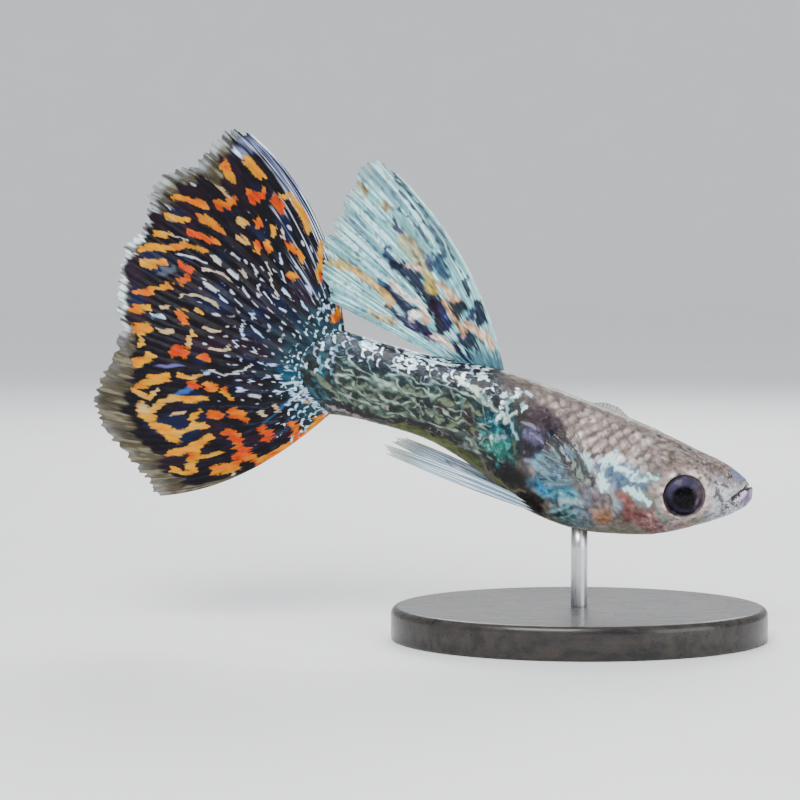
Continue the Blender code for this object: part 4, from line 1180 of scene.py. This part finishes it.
# Colour, half width and line of each blotch of the dorsal fin, and then of its warm and pale dashes
DORSAL_DARK = (
    ((60, 76, 108), 4.0, 387, 251, 393, 259, 399, 265),
    ((40, 42, 66), 7.4, 398, 264, 418, 281, 431, 296, 439, 312),
    ((44, 30, 50), 7.0, 436, 306, 441, 318, 442, 329),
    ((50, 54, 92), 3.2, 441, 308, 446, 324),
    ((60, 96, 130), 3.4, 380, 282, 388, 288),
    ((50, 48, 76), 6.0, 390, 291, 404, 305, 410, 314),
    ((62, 66, 108), 2.4, 386, 306, 400, 315),
    ((56, 46, 80), 4.6, 401, 316, 418, 326, 428, 334),
    ((50, 42, 74), 3.4, 426, 333, 437, 342),
    ((44, 50, 80), 4.6, 451, 345, 462, 353, 468, 358),
    ((30, 30, 44), 7.0, 456, 301, 457, 310, 455, 317),
    ((34, 34, 60), 4.6, 478, 304, 480, 313, 480, 322),
    ((64, 74, 112), 3.6, 469, 311, 471, 317),
    ((34, 40, 56), 9.0, 464, 338, 472, 340),
    ((62, 68, 112), 3.0, 461, 333, 463, 337),
    ((80, 86, 120), 4.4, 426, 258, 430, 268),
    ((62, 84, 108), 5.0, 437, 259, 440, 267, 445, 275),
    ((78, 72, 96), 2.0, 393, 221, 404, 235, 421, 257),
    ((86, 98, 116), 2.4, 464, 280, 467, 294),
    ((96, 110, 130), 1.5, 398, 205, 412, 224, 430, 248),
    ((96, 112, 128), 1.3, 400, 190, 424, 222, 446, 256),
    ((100, 118, 130), 1.2, 394, 176, 420, 206, 446, 244, 460, 272),
)
DORSAL_WARM = (
    ((232, 208, 124), 4.8, 421, 266, 428, 278, 434, 289),
    ((240, 196, 160), 4.6, 441, 284, 449, 291, 455, 298),
    ((250, 170, 110), 4.0, 465, 323, 474, 329),
    ((242, 206, 176), 4.2, 476, 330, 486, 338, 490, 347),
    ((246, 190, 150), 3.6, 421, 310, 427, 321),
    ((246, 214, 200), 4.4, 434, 336, 446, 343, 452, 349),
    ((240, 190, 140), 2.8, 444, 299, 451, 314, 458, 326, 464, 334),
    ((226, 194, 100), 4.2, 328, 261, 342, 266, 356, 272),
    ((244, 200, 128), 4.4, 356, 272, 372, 284, 385, 297, 391, 304),
    ((232, 206, 160), 3.4, 370, 312, 384, 318, 396, 323),
    ((206, 178, 118), 3.6, 361, 186, 368, 194),
    ((216, 190, 140), 3.4, 383, 203, 387, 210),
    ((216, 206, 164), 6.0, 403, 240, 412, 252, 421, 267),
    ((240, 200, 190), 2.2, 408, 264, 420, 272),
    ((248, 240, 236), 4.0, 411, 315, 417, 318),
    ((236, 220, 210), 3.0, 394, 284, 408, 296, 424, 308),
)


def dorsal_centre(a, r):
    root = skin_point(mix(*DORSAL_RINGS, a), 0 * a) - DORSAL_SUNK
    tip = from_stem(through(DORSAL_TIPS, a * (len(DORSAL_TIPS) - 1)))
    count = a.shape[1]
    across = np.linspace(0, 1, count)
    ragged = 0.20 * edge_noise(count, 16, 81) + 0.16 * edge_noise(count, 90, 82)
    ragged += 0.30 * np.minimum(0.0, edge_noise(count, 17, 83) + 0.3)
    ragged += 0.42 * (np.abs(np.sin(math.pi * 6.5 * across)) ** 0.7 - 0.8) * smooth(0.1, 0.25, across)
    tip, length = lengthened(root, tip, ragged + 0.12)
    leave = level_vector(mix(*DORSAL_LEAVES, a))
    centre = bezier(root, root + leave * length * DORSAL_BOW, tip, r)
    centre[..., 1] = DORSAL_LEAN * r * r + 0.35 * np.sin(2 * math.pi * (1.3 * a + 0.2)) * r
    return centre


def make_dorsal():
    a, r = fan(*DORSAL_GRID)
    centre = dorsal_centre(a, r)
    ray = ray_lines(a, r, 8, (0.3, 0.6))
    half = mix(0.07 + 0.06 * ray, 0.02 + 0.02 * ray, smooth(0.6, 1.0, r))
    u, v = picture(centre)

    def noise(down, along, seed):
        return soft_noise(r.shape, down, along, seed)

    u2 = u + 1.3 * noise(8, 6, 84) + 0.7 * noise(2.5, 1.8, 85)
    v2 = v + 1.3 * noise(8, 6, 86) + 0.7 * noise(2.5, 1.8, 87)
    thin, hair, spots = noise(22, 1.4, 88), noise(9, 0.8, 80), noise(2.2, 1.8, 89)
    outer = smooth(0.25, 0.6, r)
    lit = smooth(0.5, 0.95, ray)
    tint = coats(
        (160, 226, 232),
        ((124, 150, 172), 0.65 * outer, 0.4, 1.6, thin + 0.4 * hair),
        ((214, 250, 253), 0.95, 0.0, 1.1, 0.4 * hair - thin),
        ((132, 160, 138), 0.7 * outer, 0.5, 1.5, spots),
        ((96, 112, 142), 0.5 * outer, 0.8, 1.8, 0.3 * thin - spots),
        ((84, 126, 140), 0.9, 0.16, 0.06, r + 0.02 * spots),
        ((204, 234, 240), 0.30 * lit * outer, -1.2, 0.8, hair),
        ((96, 130, 148), 0.5 * smooth(0.42, 0.15, r), -0.8, 0.8, hair - 0.5 * thin),
    )
    for marks, amount, swell in ((DORSAL_DARK, 0.97, 1.12), (DORSAL_WARM, 0.84, 1.04)):
        for colour, width, *line in marks:
            away = off_line(u2, v2, line) / (swell * width) + 0.14 * spots + 0.10 * hair
            colour = linear(*colour) * (1.0 + 0.2 * spots[..., None])
            tint = paint(tint, colour, amount * smooth(1.30, 0.50, away))
    tint = coats(tint, ((206, 232, 226), 0.7 * smooth(0.035, 0.01, a), 0.05, 0.2, r))
    tint = tint * (1.0 + 0.14 * spots[..., None])
    solid = 1.0 - 0.5 * smooth(0.90, 0.99, r + 0.02 * spots) - 0.06 * outer * (1 - lit)
    obj = sheet("dorsal", centre, half, unmarked(tint, solid, ray))
    dress(obj, fin_material("dorsal_fin", 0.32), "dorsal_fin", "dorsal_fin")


# Word, side, root's rings and angles, headings, slant outwards, length, web's colour and solidity
PECTORALS = (
    ("right", -1, (6.46, 6.36), (1.84, 1.62), (-2.0, 66.0), 32.0, 5.0, (150, 148, 136), 0.0),
    ("left", 1, (6.30, 6.52), (1.72, 1.66), (88.0, 152.0), 34.0, 5.6, (122, 116, 100), 0.25),
)


def make_pectoral(word, side, rings, angles, headings, out, reach, web, solid):
    """A clear fan of pale rays behind the gill cover."""
    a, r = fan(90, 150)
    slant = math.radians(out)
    heading = level_vector(mix(*headings, a)) * math.cos(slant) + (0, side * math.sin(slant), 0)
    root = skin_point(mix(*rings, a), side * mix(*angles, a)) - heading * 0.25
    outline = reach * (0.72 + 0.28 * np.sin(math.pi * (0.15 + 0.75 * a)))
    outline = (outline + (0.07 - 0.04 * side) * edge_noise(a.shape[1], 40, 91 + side))[..., None]
    handle = root + heading * (0.25 * outline) + (0, side * 0.9, 0)
    centre = bezier(root, handle, root + heading * outline, r)
    ray = ray_lines(a, r, 11, (0.45,))
    half = mix(0.025 + 0.05 * ray, 0.012 + 0.012 * ray, smooth(0.2, 0.8, r))
    lit = smooth(0.55, 0.95, ray)
    tint = coats(
        web,
        ((112, 108, 100), lit),
        ((204, 212, 214), 0.6 * lit, 0.3, 1.4, soft_noise(r.shape, 5, 2, 90)),
        ((120, 108, 100), 1.0, 0.16, 0.03, r),
    )
    solid = mix(0.10, 0.38, lit) + 0.35 * smooth(0.14, 0.03, r) + solid
    obj = sheet(f"pectoral_{word}", centre, half, unmarked(tint, solid, ray))
    dress(obj, fin_material(f"clear_fin_{word}", 0.28), "clear_fin", f"pectoral_fin_{word}")


PELVIC_RINGS = (5.46, 5.30)
PELVIC_DEGREES = (166.0, 150.0)
# Word, side, level places of the lower and upper ray tips, and how far the fin widens
PELVICS = (
    ("left", 1, ((5.0, -5.1), (5.7, -4.7)), 0.5),
    ("right", -1, ((4.7, -5.7), (4.6, -5.0)), 0.4),
)


def make_pelvic(word, side, tips, wide):
    """A narrow pale fin that trails under the belly."""
    a, r = fan(140, 70)
    ring, angle = mix(*PELVIC_RINGS, a), side * np.radians(mix(*PELVIC_DEGREES, a))
    root = skin_point(ring, angle) - skin_normal(ring, angle) * 0.15
    tip = mix(*from_stem(tips), a[..., None])
    tip[..., 1] = side * 1.25
    tip = tip + (tip - root) / 9.0 * (0.25 * edge_noise(a.shape[1], 14, 95 + side))[None, :, None]
    centre = bezier(root, mix(root, tip, 0.45) + (0, 0, 0.1), tip, r)
    widen = wide * np.sin(math.pi * r) * (a - 0.5)
    centre = centre + np.stack((-0.35 * widen, 0 * a, widen), -1)
    ray = ray_lines(a, r, 3, (0.4,))
    half = mix(0.05 + 0.06 * ray, 0.02, smooth(0.6, 1.0, r))
    tint = coats(
        (186, 212, 234),
        ((226, 238, 252), 1.0, 0.3, 0.9, ray),
        ((88, 108, 136), 0.65, 0.7, 1.7, soft_noise(r.shape, 20, 1.5, 97 + side)),
        ((150, 172, 150), 0.8, 0.75, 0.95, r),
        ((84, 92, 92), 1.0, 0.14, 0.03, r),
    )
    solid = 1.0 - 0.45 * smooth(0.80, 1.0, r) - 0.15 * (1 - ray)
    obj = sheet(f"pelvic_{word}", centre, half, unmarked(tint, solid, ray))
    dress(obj, fin_material(f"pelvic_fin_{word}", 0.28), "pelvic_fin", f"pelvic_fin_{word}")


ROD_FIN_RING = 5.06
ROD_FIN_TIP = (8.2, -5.9)
ROD_FIN_RADII = (0.27, 0.25)
ROD_FIN_STEPS, ROD_FIN_SIDES = 150, 36


def make_rod_fin():
    """The male's rod-like anal fin: ringed, grooved along both sides, and pointed at its tip."""
    r = np.linspace(0, 1, ROD_FIN_STEPS)
    turn = full_turn(ROD_FIN_SIDES)
    at = np.array(ROD_FIN_RING), np.array(math.pi)
    start = skin_point(*at) - skin_normal(*at) * 0.39
    root = start + skin_normal(*at) * 0.55
    tip = from_stem(ROD_FIN_TIP)
    line = bezier(start, mix(root, tip, 0.5) + (0, 0, -0.35), tip, r)
    up = unit(np.cross((0.0, 1.0, 0.0), unit(np.gradient(line, axis=0))))
    taper = mix(1.0, 0.5, smooth(0.1, 0.7, r)) * (1.0 - 0.93 * smooth(0.86, 1.0, r))
    groove = 1.0 - 0.16 * bell(np.sin(turn), 0.25) * (np.abs(np.cos(turn)) < 0.99)
    size = (taper * (1.0 + 0.04 * np.sin(2 * math.pi * r * 22)))[:, None] * groove
    high = up[:, None, :] * (ROD_FIN_RADII[0] * size * np.cos(turn))[..., None]
    wide = np.array((0.0, 1.0, 0.0)) * (ROD_FIN_RADII[1] * size * np.sin(turn))[..., None]
    along = r[:, None] + 0 * size
    tint = coats(
        (224, 232, 240),
        ((150, 168, 214), 0.7, 0.1, 1.2, soft_noise(along.shape, 14, 1.2, 99)),
        ((120, 132, 150), 1.0, 0.7, 0.95, along),
        ((96, 98, 96), 1.0, 0.10, 0.02, along),
    )
    obj = closed_rings("rod_fin", line[:, None, :] + high + wide, unmarked(tint, 0 * along + 1, 0 * along))
    dress(obj, fin_material("rod_fin", 0.24), "pelvic_fin", "gonopodium")


# The stand: a lacquered oval base with a rounded edge, and a brushed rod

BASE_RADIUS = 12.5
BASE_SQUASH = 17.0 / 25.0
BASE_SIDES = 192
EDGE_RADIUS = 0.5
ROD_RADIUS = 0.55
ROD_SUNK = 0.25


def level(points):
    return points * MM


def oval(radii, heights, sides, squash=1.0):
    """Rings of points round the upright axis, one for each radius and height."""
    turn = full_turn(sides)
    flat = np.stack((np.cos(turn), np.sin(turn) * squash, 0 * turn), -1)
    up = np.array((0.0, 0.0, 1.0))
    return np.array([flat * radius + up * height for radius, height in zip(radii, heights)])


def make_base():
    bends = [math.radians(15 * k) for k in range(7)]
    inner = BASE_RADIUS - EDGE_RADIUS
    radii = [11.0, 12.2, 12.42, BASE_RADIUS, BASE_RADIUS]
    radii += [inner + EDGE_RADIUS * math.cos(bend) for bend in bends] + [11.9, 11.6, 6.0]
    heights = [0.0, 0.0, 0.06, 0.2, 1.2]
    heights += [1.7 + EDGE_RADIUS * math.sin(bend) for bend in bends] + [2.2] * 3
    s = Shader("base_lacquer", Coat_Weight=0.25, Coat_Roughness=0.08, Specular_IOR_Level=0.3)
    grain = s.noise(420.0, 6.0, s.point((1.0, 7.0, 3.0)), 0.62)
    fine = s.noise(2600.0, 3.0, s.point((1.0, 9.0, 3.0)))
    tint = s.mix(s.step(0.34, 0.66, grain), (0.010, 0.009, 0.009), (0.034, 0.027, 0.022))
    s.set(
        Base_Color=s.mix(s.step(0.45, 0.75, fine, 0.0, 0.5), tint, (0.006, 0.005, 0.005)),
        Roughness=s.step(0.3, 0.7, grain, 0.24, 0.38),
        Normal=s.bump(fine, 0.00002, 0.4),
    )
    obj = closed_rings("base", oval(radii, heights, BASE_SIDES, BASE_SQUASH), {}, placed=level)
    dress(obj, s.material, "stand_base", "stand_base")


def make_rod():
    """A rod from the base into the belly, its top cut along the belly's slope."""
    belly = place(skin_point(np.linspace(4.0, 9.0, 400), np.full(400, math.pi))) / MM
    nearest = np.abs(belly[:, 0]).argmin()
    run = belly[nearest + 1] - belly[nearest - 1]
    radii = (ROD_RADIUS - 0.02, *[ROD_RADIUS] * 4)
    rod = oval(radii, (1.9, 2.3, 4.0, 6.0, belly[nearest, 2] + ROD_SUNK), 48)
    rod[-1, :, 2] += run[2] / run[0] * rod[-1, :, 0]
    s = Shader("rod_metal", Metallic=1.0)
    lines = s.noise(5200.0, 4.0, s.point((1.0, 1.0, 0.03)))
    s.set(
        Base_Color=s.mix(s.step(0.3, 0.7, lines), (0.46, 0.47, 0.49), (0.66, 0.67, 0.69)),
        Roughness=s.step(0.3, 0.7, lines, 0.22, 0.40),
        Normal=s.bump(lines, 0.00001, 0.5),
    )
    dress(closed_rings("rod", rod, {}, placed=level), s.material, "stand_rod", "stand_rod")


# The stage

LENS, SENSOR = 100.0, 36.0
VIEW_WIDTH = 52.8
VIEW_MIDDLE = (400.0, 400.0)
VIEW_TILT = math.radians(4.0)
LIT_POINT = Vector((-0.008, 0.0, 0.014))
# Name, place and width in metres, and power in watts
LIGHTS = (
    ("key", (-0.05, -0.15, 0.17), 0.11, 0.55),
    ("fill", (0.16, -0.13, 0.05), 0.13, 0.20),
    ("back", (0.02, 0.17, 0.15), 0.13, 0.40),
)
AIR = (0.84, 0.86, 0.90, 1.0)
AIR_STRENGTH = 1.05


def make_camera():
    across, down = (m - s for m, s in zip(VIEW_MIDDLE, STEM_PICTURE))
    aim = STEM_END + np.array((across, 0.0, -down)) * PICTURE
    away = VIEW_WIDTH * LENS / SENSOR
    data = bpy.data.cameras.new("camera")
    data.lens = LENS
    data.sensor_width = SENSOR
    data.clip_start = 0.005
    camera = add("camera", data)
    camera.location = (aim + away * np.array((0, -math.cos(VIEW_TILT), math.sin(VIEW_TILT)))) * MM
    camera.rotation_euler = (math.pi / 2 - VIEW_TILT, 0, 0)
    bpy.context.scene.camera = camera


def make_light():
    for name, spot, size, power in LIGHTS:
        data = bpy.data.lights.new(name, "AREA")
        data.size = size
        data.energy = power
        lamp = add(name, data)
        lamp.location = spot
        lamp.rotation_euler = (LIT_POINT - Vector(spot)).to_track_quat("-Z", "Y").to_euler()
    world = bpy.data.worlds.new("studio")
    world.use_nodes = True
    background = world.node_tree.nodes["Background"]
    background.inputs["Color"].default_value = AIR
    background.inputs["Strength"].default_value = AIR_STRENGTH
    bpy.context.scene.world = world


def make_floor():
    """A pale round sweep: a floor that turns up into a low wall all about the model."""
    bends = [math.radians(6 * k) for k in range(1, 16)]
    radii = [0.0005, 0.05, 0.2, 0.6] + [0.6 + 0.3 * math.sin(bend) for bend in bends] + [0.9]
    heights = [0.0] * 4 + [0.3 - 0.3 * math.cos(bend) for bend in bends] + [0.55]
    points = oval(radii, heights, 96)
    faces = grid_faces(len(radii), 96, wrapped=True)[:, ::-1]
    floor = make_mesh("floor", points.reshape(-1, 3), faces, {})
    s = Shader("floor", Roughness=0.7)
    patchy = s.step(0.3, 0.7, s.noise(60.0, 4.0), 0.0, 0.25)
    s.set(Base_Color=s.mix(patchy, (0.86, 0.865, 0.87), (0.80, 0.81, 0.82)))
    floor.data.materials.append(s.material)


make_skin()
make_eye("left", 1)
make_eye("right", -1)
make_tail()
make_dorsal()
for settings in PECTORALS:
    make_pectoral(*settings)
for settings in PELVICS:
    make_pelvic(*settings)
make_rod_fin()
make_base()
make_rod()
make_camera()
make_light()
make_floor()
